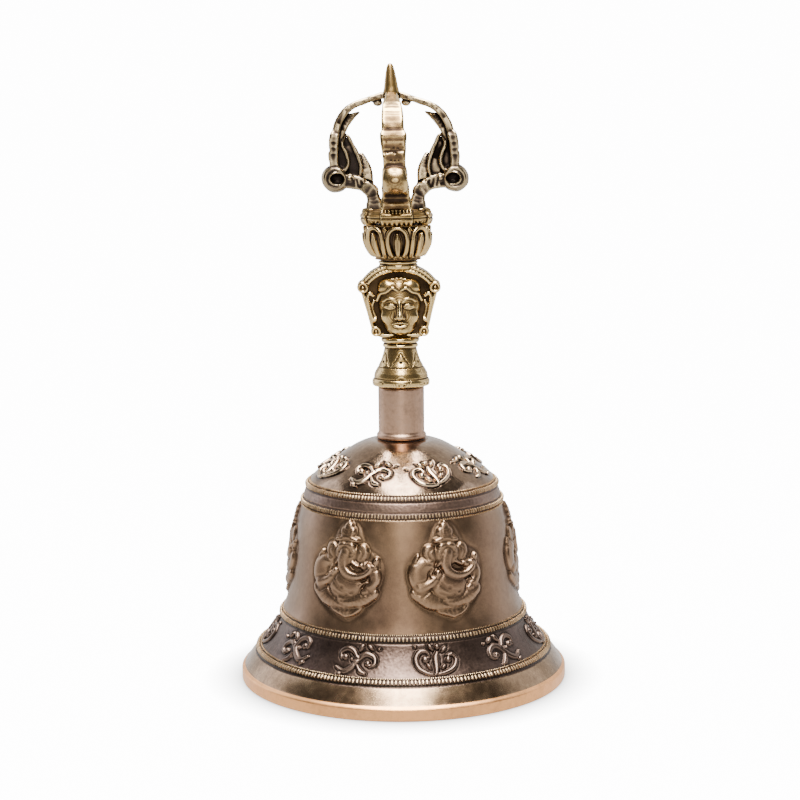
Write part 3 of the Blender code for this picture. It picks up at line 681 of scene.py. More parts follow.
def zone(name, top, foot, sectors, columns, first, draw, material, pieces=1, sand=0.0, sag=0.05):
    """A strip of the skin between two heights; draw shapes each of its equal sectors.

    first is the angle of the first sector's middle from the front, sand the height of the fine grain on the
    plain ground, and sag that of the casting's slow waves.
    """
    rows = np.flatnonzero((SKIN_ALONG >= way_to(top) - ZONE_OVERLAP) & (SKIN_ALONG <= way_to(foot)))
    line = SKIN[rows]
    middle = (SKIN_ALONG[rows[0]] + SKIN_ALONG[rows[-1]]) / 2
    offsets = (np.arange(columns) / columns - 0.5) * TAU / sectors
    maps, tarnish = [], []
    for number in range(sectors):
        relief = Relief(
            offsets[None] * line[:, :1], (middle - SKIN_ALONG[rows])[:, None] + 0 * offsets[None],
        )
        draw(relief, number)
        maps.append(relief.height)
        tarnish.append(relief.tarnish)
    height = np.hstack(maps)
    angles = first + np.concatenate([offsets + TAU * number / sectors for number in range(sectors)])
    if sand:
        rng = np.random.default_rng(len(name))
        grains = soften(rng.normal(size=height.shape), 1)
        height = height + sand * grains * np.clip(1 - height * 3, 0, 1)
    height = height + ring_rise(SKIN_ALONG[rows])[:, None]
    flat = wrapped(line, SKIN_NORMALS[rows], angles[None], np.zeros_like(height))
    height = height + sag * ripple(flat, 14, 3).reshape(height.shape)
    proud = standing(height, ((0.9, 2), (0.45, 7)))
    proud = proud - np.hstack(tarnish) - CHANNEL_TARNISH * ring_hollow(SKIN_ALONG[rows])[:, None]
    points = wrapped(line, SKIN_NORMALS[rows], angles[None], height).reshape(*height.shape, 3)
    count = height.shape[1]
    for piece in range(pieces):
        cut = np.arange(piece * count // pieces, (piece + 1) * count // pieces + 1) % count
        label = name if pieces == 1 else f"{name}_{piece + 1}"
        add_piece(
            label, points[:, cut].reshape(-1, 3), grid_faces(len(rows), len(cut)), material, "bell",
            "bell_bronze", replaces=["bell_shell"], proud=proud[:, cut].ravel(),
        )


def unit_ball():
    """Points and faces of a small ball made from the six faces of a cube, three points to a side."""
    template = []
    for axis in range(3):
        for side in (-1, 1):
            u, v = np.meshgrid([-1, 0, 1], [-1, 0, 1], indexing="ij")
            face = np.zeros((3, 3, 3))
            face[..., axis] = side
            face[..., (axis + 1) % 3] = u
            face[..., (axis + 2) % 3] = v * side
            template.append(face.reshape(9, 3))
    ball = np.vstack(template)
    ball /= np.linalg.norm(ball, axis=1)[:, None]
    quads = grid_faces(3, 3)[:, ::-1]
    return ball, np.vstack([quads + 9 * face for face in range(6)])


BEAD_WIDTH = 0.7


def beads(name, rows, material):
    """Rings of small beads; a row is (radius, height, bead radius, count, lean, stretch along the skin)."""
    ball, quads = unit_ball()
    points, faces = [], []
    rng = np.random.default_rng(5)
    for radius, level, bead, count, lean, stretch in rows:
        down = np.array([math.cos(lean), 0.0, -math.sin(lean)])
        aside = np.array([0, BEAD_WIDTH, 0])
        out = np.array([math.sin(lean), 0.0, math.cos(lean)])
        for number in range(count):
            angle = TAU * (number + 0.05 * rng.normal()) / count
            size = bead * rng.uniform(0.9, 1.06)
            c, s = math.sin(angle), -math.cos(angle)
            shaped = ball[:, :1] * down * stretch + ball[:, 1:2] * aside + ball[:, 2:] * out
            x, y, z = shaped.T
            spun = np.column_stack([x * c - y * s, x * s + y * c, z])
            faces.append(quads + len(ball) * len(points))
            points.append(np.array([radius * c, radius * s, level]) + spun * size)
    add_piece(name, np.vstack(points), np.vstack(faces), material, "bell", "bell_bronze")


FIGURE_SHIFTS = (-1.7, 2.3, 0.0, 0.0, 0.0, 0.0)
FIGURE_LIFT = 1.5
FIGURE_WIDER = 1.07
FIGURE_TALLER = 1.03


def figure(relief, number):
    """A seated elephant-headed figure in a sunk, pointed oval; the medallions aren't quite evenly set."""
    relief.x = (relief.x + FIGURE_SHIFTS[number]) / FIGURE_WIDER
    relief.y = (relief.y - FIGURE_LIFT) / FIGURE_TALLER
    x, y = relief.x, relief.y
    rim = curve(
        [(0.2, 13.3), (2.9, 11.6), (4.6, 8.2), (6.2, 5.6), (9.3, 3.4), (9.9, -0.6), (8.6, -5.6),
         (5.4, -10.6), (1.4, -13.4), (-3.0, -11.6), (-7.6, -8.2), (-9.9, -2.8), (-9.6, 2.2), (-5.6, 5.4),
         (-4.0, 8.2), (-2.3, 11.6)],
        4, closed=True,
    )
    q, _, _ = relief.nearest(np.vstack([rim, rim[:1]]), np.ones(len(rim) + 1))
    inside = outline_holds(rim, x, y)
    border = np.where(inside, -q, q)
    relief.height -= 0.2 * np.exp(-((border / 0.6) ** 2))
    relief.height += np.where(inside, 0.25 * np.clip(q / 1.5, 0, 1), 0)
    # drapery gathered to a point below the crossed legs
    for fold in range(-3, 4):
        start = (fold * 1.75 + 0.2, -8.6 + 0.15 * abs(fold), 0.8)
        foot = (0.9 + 0.55 * fold, -12.2 + 0.2 * abs(fold), 0.35)
        relief.stroke([start, (fold * 1.1 + 0.7, -10.4, 0.65), foot], 0.6, base=0.25)
    # legs and drapery
    relief.stroke(
        [(-7.4, -5.6, 2.3), (-4.6, -7.8, 2.2), (-0.8, -8.6, 1.5), (2.6, -8.9, 1.0)], 1.0, base=0.3,
        ribs=0.12, pitch=1.2,
    )
    relief.stroke(
        [(7.2, -5.6, 2.0), (4.8, -7.4, 1.95), (1.6, -8.0, 1.4), (-0.8, -7.6, 0.9)], 1.15, base=0.35,
        ribs=0.16, pitch=1.0,
    )
    # belly with its cord and folds
    relief.dome(0.2, -3.9, 4.6, 3.9, 1.35, base=0.4)
    relief.groove([(-2.6, -5.6, 0.2), (0.3, -6.5, 0.22), (3.0, -5.4, 0.2)], 0.3)
    relief.groove([(-0.2, -4.3, 0.25), (0.2, -4.5, 0.25)], 0.35)
    relief.beads([(-2.9, -2.4), (-0.6, -4.9), (2.4, -6.2)], 0.3, 0.25, base=1.35)
    # shoulders and arms
    relief.stroke(
        [(-4.6, 1.9, 1.5), (-7.0, 0.6, 2.3), (-7.5, -1.9, 2.4), (-6.8, -4.2, 1.9)], 1.2, base=0.35,
    )
    relief.stroke([(-7.2, -4.3, 1.35), (-4.9, -3.4, 1.2), (-3.2, -1.7, 0.95)], 1.15, base=0.55)
    relief.beads([(-3.6, 0.6), (-4.4, -0.8), (-4.1, -2.2)], 0.34, 0.4, base=1.1)
    relief.dome(-2.6, -0.7, 0.9, 1.15, 0.7, turn=-0.4, base=0.9)
    relief.stroke(
        [(5.2, 1.2, 1.2), (7.6, -0.4, 1.5), (8.0, -2.6, 1.35), (6.4, -4.6, 1.15)], 1.05, base=0.35,
    )
    relief.dome(5.7, -5.2, 1.0, 0.85, 0.6, base=0.7)
    relief.beads([(4.5, -3.9), (5.1, -3.1), (6.0, -2.8)], 0.32, 0.35, base=1.0)
    relief.stroke([(7.6, 1.4, 0.9), (8.1, 2.9, 0.75)], 0.8, base=0.4)
    relief.dome(7.5, 1.0, 1.1, 0.75, 0.7, base=0.6)
    relief.stroke([(-8.0, 2.6, 0.55), (-7.2, 4.0, 0.4)], 0.6, base=0.4)
    # ears, head, trunk
    for side, lean in ((-1, 0.25), (1, -0.25)):
        relief.dome(side * 4.1, 4.3, 1.75, 2.5, 0.75, turn=lean, base=0.45)
        relief.dome(side * 4.2, 4.3, 1.0, 1.7, -0.35, turn=lean, base=1.0, moat=0.0)
        relief.groove([(side * 3.6, 5.6, 0.22), (side * 4.6, 4.6, 0.25), (side * 4.1, 3.0, 0.22)], 0.35)
        relief.beads(
            [(side * 4.9, 6.1), (side * 5.7, 4.5), (side * 5.1, 2.6)], 0.27, 0.22, base=0.75, pitch=0.75,
        )
    relief.dome(0.1, 4.2, 3.0, 3.3, 1.3, base=0.55)
    relief.dome(-0.95, 6.0, 1.25, 1.1, 0.35, base=1.4, moat=0.12)
    relief.dome(1.15, 6.0, 1.25, 1.1, 0.35, base=1.4, moat=0.12)
    for side in (-1, 1):
        brow = [
            (side * x + 0.1, y, radius)
            for x, y, radius in ((2.3, 4.6, 0.16), (1.6, 4.95, 0.2), (0.9, 4.6, 0.16))
        ]
        relief.stroke(brow, 0.2, base=1.55, moat=0.1)
        relief.dome(side * 1.6 + 0.1, 4.1, 0.48, 0.34, 0.25, base=1.45, moat=0.22)
    relief.stroke([(2.2, 2.0, 0.45), (3.6, 1.2, 0.4), (4.4, 1.6, 0.25)], 0.4, base=1.35, moat=0.15)
    relief.stroke([(-1.9, 2.2, 0.4), (-2.7, 1.2, 0.28)], 0.35, base=1.3, moat=0.15)
    relief.stroke(
        [(0.1, 4.4, 1.25), (-0.5, 2.2, 1.35), (-0.2, 0.2, 1.3), (1.6, -1.3, 1.2), (4.0, -1.5, 1.05),
         (6.0, -0.6, 0.85), (6.9, 0.8, 0.65), (6.2, 1.7, 0.45)],
        0.95, base=1.15, ribs=0.1, pitch=0.75,
    )
    # crown
    relief.stroke([(-2.5, 7.5, 0.7), (0.1, 8.0, 0.8), (2.7, 7.5, 0.7)], 0.85, base=0.8)
    relief.beads([(-2.4, 7.5), (0.1, 8.0), (2.6, 7.5)], 0.3, 0.25, base=1.5, pitch=0.68)
    relief.dome(0.1, 9.6, 2.1, 1.9, 1.0, base=0.6)
    relief.dome(0.15, 11.1, 1.2, 1.3, 0.9, base=0.55)
    relief.dome(0.15, 12.3, 0.5, 0.6, 0.6, base=0.5)
    for side in (-1, 0, 1):
        relief.groove([(side * 1.0, 8.7, 0.14), (side * 0.8, 10.2, 0.14)], 0.22)
    relief.height = 0.45 * soften(relief.height, 1) + 0.4 * soften(relief.height, 2)
    relief.tarnish = np.where(inside, 0.035, 0.025 * np.exp(-((q / 1.0) ** 2)))


LEVEL_EDGE = 1e-12


def outline_holds(rim, x, y):
    """True at the points inside a closed outline."""
    inside = np.zeros(np.broadcast(x, y).shape, bool)
    for a, b in zip(rim, np.roll(rim, -1, axis=0)):
        spans = (a[1] > y) != (b[1] > y)
        cross = a[0] + (y - a[1]) / (b[1] - a[1] + LEVEL_EDGE) * (b[0] - a[0])
        inside ^= spans & (x < cross)
    return inside


PALMETTE = (
    [
        [(-0.3, -3.9, 0.35), (-2.2, -3.6, 0.6), (-4.5, -2.3, 0.75), (-5.3, 0.1, 0.75), (-4.3, 2.1, 0.65),
         (-2.5, 2.3, 0.55), (-1.9, 1.0, 0.5)],
        [(0.3, -3.6, 0.35), (2.4, -3.0, 0.6), (4.7, -1.5, 0.7), (5.4, 0.7, 0.65), (4.4, 2.2, 0.55),
         (3.2, 1.8, 0.5)],
        [(0.0, -3.6, 0.4), (0.2, -1.4, 0.85), (0.0, 0.8, 1.0), (0.1, 2.4, 0.5)],
    ],
    [(-2.8, 0.2, 1.0, 1.0, 0.0), (3.3, 0.7, 0.9, 0.9, 0.0), (0.1, 3.9, 0.75, 0.85, 0.0),
     (-1.6, 3.6, 0.6, 1.2, 0.7), (1.9, 3.4, 0.6, 1.2, -0.7), (-5.6, 3.2, 0.45, 0.45, 0.0),
     (-1.9, -1.6, 0.55, 1.1, 0.6), (2.0, -1.3, 0.55, 1.0, -0.6)],
)
BRANCH = (
    [
        [(-5.8, -1.6, 0.4), (-3.6, -2.9, 0.75), (-1.2, -1.6, 0.85), (0.4, 0.6, 0.85), (2.4, 1.7, 0.8),
         (4.5, 0.7, 0.7), (4.8, -1.1, 0.6), (3.5, -1.7, 0.5)],
        [(0.1, 0.8, 0.5), (-1.0, 2.6, 0.7), (-2.8, 3.4, 0.75), (-4.5, 2.5, 0.65), (-4.4, 0.9, 0.5)],
        [(0.2, -1.4, 0.4), (1.0, -3.0, 0.75), (2.4, -3.8, 0.4)],
    ],
    [(2.9, -0.9, 0.85, 0.85, 0.0), (-3.3, 1.1, 0.9, 0.9, 0.0), (1.1, 3.5, 0.65, 1.3, -0.5),
     (3.5, 3.5, 0.6, 1.2, 0.8), (5.7, 2.8, 0.45, 0.45, 0.0), (-4.6, -3.6, 0.5, 0.8, 0.9),
     (-1.4, 0.4, 0.5, 0.6, 0.0)],
)


LOBE_RISE = 1.15
SCROLL_MOAT = 0.12


def scroll(relief, motif, flip, turn, drop, rise):
    """One curled leaf ornament: stems, then knobs and lobes (x, y, half width, half height, turn)."""
    stems, lobes = motif
    c, s = math.cos(turn), math.sin(turn)

    def placed(x, y):
        return flip * (x * c - y * s), x * s + y * c + drop

    for stations in stems:
        relief.stroke([(*placed(x, y), radius) for x, y, radius in stations], rise, moat=SCROLL_MOAT)
    for x, y, wide, tall, lean in lobes:
        tilt = flip * (lean + turn)
        relief.dome(*placed(x, y), wide, tall, rise * LOBE_RISE, turn=tilt, moat=SCROLL_MOAT)


# Each ornament's motif, its side (-1 is mirrored) and its turn: no two stand quite alike, as in hand work
DOME_ORNAMENTS = (
    (PALMETTE, 1, 0.2), (BRANCH, -1, 0.1), (PALMETTE, -1, 0.1), (BRANCH, 1, -0.1),
    (PALMETTE, 1, -0.2), (BRANCH, -1, 0.0), (PALMETTE, 1, 0.15), (BRANCH, 1, 0.1),
)
FLARE_ORNAMENTS = (
    (BRANCH, 1, 0.1), (PALMETTE, 1, -0.15), (BRANCH, -1, 0.0), (PALMETTE, -1, 0.12), (BRANCH, 1, -0.1),
    (PALMETTE, 1, 0.1), (BRANCH, -1, 0.1), (PALMETTE, 1, 0.0), (BRANCH, 1, 0.15), (PALMETTE, -1, -0.1),
    (BRANCH, -1, -0.1),
)
DOME_DROP, DOME_RISE = -4.2, 0.75
FLARE_RISE = 0.62


def dome_scroll(relief, number):
    """An ornament low on the dome."""
    scroll(relief, *DOME_ORNAMENTS[number], DOME_DROP, DOME_RISE)


def flare_scroll(relief, number):
    """An ornament in the middle of the flared band."""
    scroll(relief, *FLARE_ORNAMENTS[number], 0.0, FLARE_RISE)


def plain(relief, number):
    """No ornament."""


# Zone edges, from the crown down
CROWN, DOME_FOOT, SHOULDER_FOOT, WAIST_FOOT, BAND_FOOT, LIP_FOOT = 66.2, 55.2, 48.9, 19.6, 7.7, 3.9
DOME_TURN, WAIST_TURN, BAND_TURN = math.radians(22.5), math.radians(-33.0), math.radians(-19.3)

zone("bell_dome", CROWN, DOME_FOOT, 8, 110, DOME_TURN, dome_scroll, DOME_BRONZE, 2, sand=0.008, sag=0.03)
zone("bell_shoulder", DOME_FOOT, SHOULDER_FOOT, 8, 110, DOME_TURN, plain, SHOULDER_BRONZE, sand=0.04)
zone("bell_waist", SHOULDER_FOOT, WAIST_FOOT, 6, 170, WAIST_TURN, figure, BRONZE, 2)
zone("bell_band", WAIST_FOOT, BAND_FOOT, 11, 112, BAND_TURN, flare_scroll, BAND_BRONZE, sand=0.03)
zone("bell_lip", BAND_FOOT, LIP_FOOT, 4, 128, 0.0, plain, LIP_BRONZE, sag=0.02)
zone("bell_rim_band", LIP_FOOT, 0.0, 4, 128, 0.0, plain, RIM_BRONZE, sag=0.01)

INSIDE = spaced(
    curve(
        [(41.4, 0.0), (41.3, 1.5), (41.1, 3.4), (38.6, 6.4), (35.6, 10.4), (33.2, 14.6), (31.2, 18.6),
         (29.9, 23.0), (28.9, 29.0), (27.9, 37.0), (26.6, 44.5), (25.2, 49.5), (23.6, 53.4), (20.0, 56.8),
         (15.5, 59.9), (11.0, 62.1), (7.0, 62.8), (2.4, 63.0)],
        8,
    ),
    0.6,
)
RIM_FLAT = [(44.5, 0.0), (43.0, 0.0), (41.4, 0.0)]
turned_piece(
    "bell_inside", np.vstack([RIM_FLAT, INSIDE[1:]]), BRONZE, "bell", "bell_bronze",
    replaces=["bell_shell"],
)
CROWN_SEAT = [(2.4, 63.0), (2.4, 66.2), (7.2, 66.2)]
turned_piece(
    "bell_crown_seat", CROWN_SEAT, BRONZE, "bell", "bell_bronze", steps=96, step=0.6,
    replaces=["bell_shell"],
)


BEAD_STRETCH = 1.45
BEAD_LIFT = 0.27
SMALL_LIFT = 0.05
SMALL_PITCH = 2.3


def ring_rows(level, bead, pitch, small, offset):
    """A row of upright beads on a ring's middle and a finer row above or below it."""
    rows = (
        (0.0, bead, pitch, BEAD_STRETCH, BEAD_LIFT), (offset, small, small * SMALL_PITCH, 1.0, SMALL_LIFT),
    )
    found = []
    for shift, size, apart, stretch, lift in rows:
        row = int(np.argmin(np.abs(SKIN_ALONG - way_to(level) - shift)))
        place = SKIN[row] + SKIN_NORMALS[row] * lift
        lean = math.atan2(SKIN_NORMALS[row, 0], SKIN_NORMALS[row, 1])
        found.append((place[0], place[1], size, round(TAU * place[0] / apart), lean, stretch))
    return found


upper_rows = ring_rows(UPPER_SHOULDER_RING, 0.5, 0.9, 0.32, -1.1)
lower_rows = ring_rows(LOWER_SHOULDER_RING, 0.45, 0.9, 0.28, 1.05)
beads("bell_shoulder_beads", upper_rows + lower_rows, BEAD_BRONZE)
upper_rows = ring_rows(UPPER_FLARE_RING, 0.5, 0.98, 0.25, -1.1)
lower_rows = ring_rows(LOWER_FLARE_RING, 0.52, 1.02, 0.26, -1.15)
beads("bell_flare_beads", upper_rows + lower_rows, BEAD_BRONZE)


# Handle


def slab_distance(outline, half_depth, edge):
    """The signed distance to an outline in the XZ plane, carried half_depth either way along Y."""
    outline = np.asarray(outline, float)

    def distance(x, y, z):
        best = np.full(np.broadcast(x, z).shape, FAR)
        for a, b in zip(outline, np.roll(outline, -1, axis=0)):
            run = b - a
            t = np.clip(((x - a[0]) * run[0] + (z - a[1]) * run[1]) / float(run @ run), 0, 1)
            best = np.minimum(best, np.hypot(x - a[0] - run[0] * t, z - a[1] - run[1] * t))
        flat = np.where(outline_holds(outline, x, z), -best, best) + edge
        side = np.abs(y) - half_depth + edge
        outside = np.hypot(np.maximum(flat, 0), np.maximum(side, 0))
        return outside + np.minimum(np.maximum(flat, side), 0) - edge

    return distance


def mirrored(points):
    """An outline whose right half is given from the foot up, with its left half added."""
    return list(points) + [(-x, z) for x, z in reversed(points) if x]


COLLAR_RADIUS = 7.9
PANEL_HALF_DEPTH = 3.5
PANEL_FACE = 3.7
ARCH = [(-9.3, 108.6), (-7.9, 110.5), (-5.2, 112.2), (-2.6, 113.0), (0, 113.3)]
ARCH += [(-x, z) for x, z in reversed(ARCH[:-1])]


def column_body():
    """The handle column: collar, engraved cone, mouldings, and a panel sunk on both sides for the heads."""
    solid = Solid((-12.0, -8.4, 80.6), (12.0, 8.4, 115.4), 0.16)
    outline = spaced(
        [(0.01, 81.0), (7.45, 81.0), (7.8, 81.3), (7.9, 82.3), (7.7, 82.9), (7.5, 83.1), (7.45, 83.4),
         (7.2, 84.6), (6.3, 86.2), (5.4, 87.9), (4.8, 89.6), (4.4, 91.2), (4.35, 91.5), (4.75, 91.7),
         (4.85, 92.1), (4.7, 92.5), (4.4, 92.7), (4.9, 92.95), (5.25, 93.5), (5.1, 94.1), (4.6, 94.4),
         (3.8, 94.8), (3.4, 100.0), (3.4, 111.0), (5.2, 113.2), (5.3, 113.9), (5.0, 114.2), (5.35, 114.5),
         (5.35, 115.0)],
        0.1,
    )
    outline = outline[np.argsort(outline[:, 1], kind="stable")]
    solid.turned(outline)
    panel = mirrored(
        [(4.9, 94.3), (6.7, 94.9), (7.6, 96.4), (8.4, 99.4), (9.3, 103.0), (10.1, 106.0), (10.6, 108.2),
         (10.1, 109.8), (8.6, 111.3), (5.8, 113.0), (2.9, 113.8)]
    )
    slab = slab_distance(panel, PANEL_HALF_DEPTH, 0.5)
    solid.put(slab, (-11, -PANEL_HALF_DEPTH, 94), (11, PANEL_HALF_DEPTH, 114), blend=0.3)
    sunk = mirrored(
        [(4.2, 95.4), (6.4, 96.2), (7.3, 99.4), (8.4, 103.4), (9.2, 106.6), (9.0, 108.8), (7.2, 110.6),
         (4.2, 111.8), (1.4, 112.2)]
    )
    floor = slab_distance(sunk, 1.0, 0.2)
    arch = curve(ARCH, 6)
    for face in (-1, 1):
        front = face * PANEL_FACE
        solid.put(
            lambda x, y, z, front=front: floor(x, y - front, z),
            (-10, front - 1, 95), (10, front + 1, 113), cut=True, blend=0.2,
        )
        for shift, bar in ((0.62, 0.52), (-0.5, 0.58)):
            ridge = arch + outward(arch) * shift
            solid.tube([(x, front, z, bar) for x, z in ridge[::4]], 2, blend=0.12)
        for side in (-1, 1):
            solid.rod((side * 9.9, face * 3.4, 107.2), (side * 7.3, face * 3.4, 97.2), 0.5, 0.45, blend=0.2)
            rosette(solid, side * 9.75, face * 3.3, 108.1, 1.6, face)
            rosette(solid, side * 6.5, face * 3.3, 96.2, 1.42, face)
            ear = [
                (7.0, 105.9), (8.0, 106.5), (8.6, 105.4), (8.3, 103.4), (7.8, 101.2), (7.1, 99.2),
                (6.5, 99.6),
            ]
            solid.tube([(side * x, face * 3.6, z, 0.5) for x, z in ear], 3, blend=0.15)
            inner = [(6.9, 104.4), (7.4, 103.2), (7.0, 101.4), (6.6, 100.3)]
            solid.tube([(side * x, face * 3.3, z, 0.42) for x, z in inner], 3, blend=0.15)
    for number in range(6):
        middle = TAU * number / 6
        engrave_cone(solid, [(middle - 0.5, 86.7), (middle, 90.2), (middle + 0.5, 86.7)])
        engrave_cone(solid, [(middle, 87.8), (middle + 0.01, 87.75)], 0.36)
    engrave_cone(solid, [(TAU * n / 48, 86.3) for n in range(49)], 0.2)
    # dents round the collar, then the creases between the mouldings
    rng = np.random.default_rng(8)
    for _ in range(26):
        angle, level = rng.uniform(0, TAU), rng.uniform(81.6, 82.8)
        spot = (COLLAR_RADIUS * math.sin(angle), -COLLAR_RADIUS * math.cos(angle), level)
        solid.ball(spot, rng.uniform(0.2, 0.42), cut=True, blend=0.1)
    for level in (92.6, 94.55, 83.2):
        radius = float(np.interp(level, outline[:, 1], outline[:, 0]))
        solid.ring((0, 0, level), radius, 0.16, axis=2, cut=True)
    return solid


def rosette(solid, x, y, z, radius, face):
    """A round boss with a raised rim, a hollow and a small centre."""
    solid.ball((x, y, z), (radius, 1.3, radius), blend=0.15)
    front = y + face * 1.15
    solid.ring((x, front - face * 0.2, z), radius * 0.72, radius * 0.26)
    solid.ball((x, front + face * 0.1, z), (radius * 0.5, 0.5, radius * 0.5), cut=True, blend=0.1)
    solid.ball((x, front - face * 0.35, z), (radius * 0.26, 0.45, radius * 0.26), blend=0.05)


CONE = np.array([(7.2, 84.6), (6.3, 86.2), (5.4, 87.9), (4.8, 89.6), (4.4, 91.2)])
CUT_LIFT = 0.05


def engrave_cone(solid, stations, width=0.22):
    """A cut line on the column's cone through (angle, height) stations."""
    line = spaced(np.array(stations, float), 0.08) if len(stations) > 2 else np.array(stations)
    points = []
    for angle, level in line:
        radius = float(np.interp(level, CONE[:, 1], CONE[:, 0])) + CUT_LIFT
        points.append((radius * math.sin(angle), -radius * math.cos(angle), level))
    for a, b in zip(points, points[1:]):
        solid.rod(a, b, width, cut=True)


LOCKS = 6
LOCK_STEP = 0.62
LOCK_WAVE = 0.22


def calm_head():
    """One head with centre-parted hair; it looks along -Y and its back is sunk in the panel."""
    solid = Solid((-7.0, -8.6, 94.2), (7.0, -2.0, 112.6), 0.12)
    solid.ball((0, -3.0, 103.6), (5.2, 3.9, 7.3))
    solid.ball((0, -3.2, 98.6), (3.9, 3.3, 3.9), blend=1.6)
    solid.ball((0, -5.4, 96.6), (1.5, 1.1, 1.1), blend=0.9)
    for side in (-1, 1):
        solid.ball((side * 2.7, -5.0, 100.3), (1.8, 1.3, 1.9), blend=1.0)
        solid.ball((side * 2.25, -7.0, 103.2), (1.75, 0.85, 1.05), cut=True, blend=0.5)
        solid.ball((side * 2.2, -5.95, 103.1), (1.45, 0.85, 0.85), blend=0.12)
        # the upper lid, the lower lid, the line between them and the brow
        for line, front, bend, start, radius, how in (
            ([(1.0, 103.0), (1.6, 103.55), (2.4, 103.7), (3.2, 103.3), (3.7, 102.9)], -6.75, 0.08, 1.0,
             0.16, {"blend": 0.06}),
            ([(1.2, 102.75), (2.3, 102.4), (3.4, 102.75)], -6.62, 0.08, 1.0, 0.14, {"blend": 0.06}),
            ([(1.2, 102.95), (2.3, 102.85), (3.4, 102.95)], -6.95, 0.08, 1.0, 0.13, {"cut": True}),
            ([(0.7, 104.2), (1.7, 105.15), (2.9, 105.2), (4.0, 104.4)], -6.65, 0.085, 0.5, 0.24,
             {"blend": 0.25}),
        ):
            solid.tube([(side * x, front + bend * (x - start) ** 2, z, radius) for x, z in line], 4, **how)
        solid.ball((side * 0.85, -7.0, 99.95), (0.55, 0.55, 0.45), blend=0.2)
    nose = [(-6.6, 104.3, 0.42), (-7.15, 102.6, 0.45), (-7.7, 101.0, 0.52), (-7.85, 100.2, 0.68)]
    solid.tube([(0, *station) for station in nose], 4, blend=0.35)
    for side in (-1, 1):
        solid.ball((side * 0.42, -7.75, 99.62), (0.2, 0.28, 0.16), cut=True)
    upper = [
        (-1.75, 98.35), (-0.9, 98.62), (-0.25, 98.72), (0, 98.62), (0.25, 98.72), (0.9, 98.62),
        (1.75, 98.35),
    ]
    lower = [(-1.3, 97.85), (0, 97.55), (1.3, 97.85)]
    parting = [(-1.8, 98.25), (-0.8, 98.22), (0, 98.14), (0.8, 98.22), (1.8, 98.25)]
    for line, front, bend, radius, steps, how in (
        (upper, -6.72, 0.13, 0.27, 3, {"blend": 0.12}),
        (lower, -6.7, 0.15, 0.36, 4, {"blend": 0.15}),
        (parting, -7.0, 0.14, 0.11, 3, {"cut": True}),
    ):
        solid.tube([(x, front + bend * x * x, z, radius) for x, z in line], steps, **how)
    # hair: a cap with waved locks, one above the other, swept down from the middle to each ear
    for side in (-1, 1):
        solid.ball((side * 2.4, -3.4, 108.0), (3.0, 2.7, 2.6), blend=0.4)
        for lock in range(LOCKS):
            lift = lock * LOCK_STEP
            wave = LOCK_WAVE * (-1) ** lock
            path = [
                (side * 0.3, -6.15 + 0.42 * lock, 107.3 + lift),
                (side * 1.7, -6.25 + 0.45 * lock, 107.9 + lift * 0.85 + wave),
                (side * 3.1, -5.75 + 0.42 * lock, 107.2 + lift * 0.72 - wave),
                (side * 4.5, -4.7 + 0.34 * lock, 106.2 + lift * 0.5 + wave),
                (side * 5.4, -3.7 + 0.26 * lock, 104.6 + lift * 0.35),
            ]
            solid.tube([(*point, 0.42 - 0.02 * lock) for point in path], 4, blend=0.08)
    solid.tube([(0, -6.5, 107.4, 0.16), (0, -6.0, 109.2, 0.2), (0, -4.6, 110.9, 0.2)], 4, cut=True)
    return solid


CURL = (16.1, 0, 137.2)
STEM_EYE = (12.2, 2.75, 137.3)


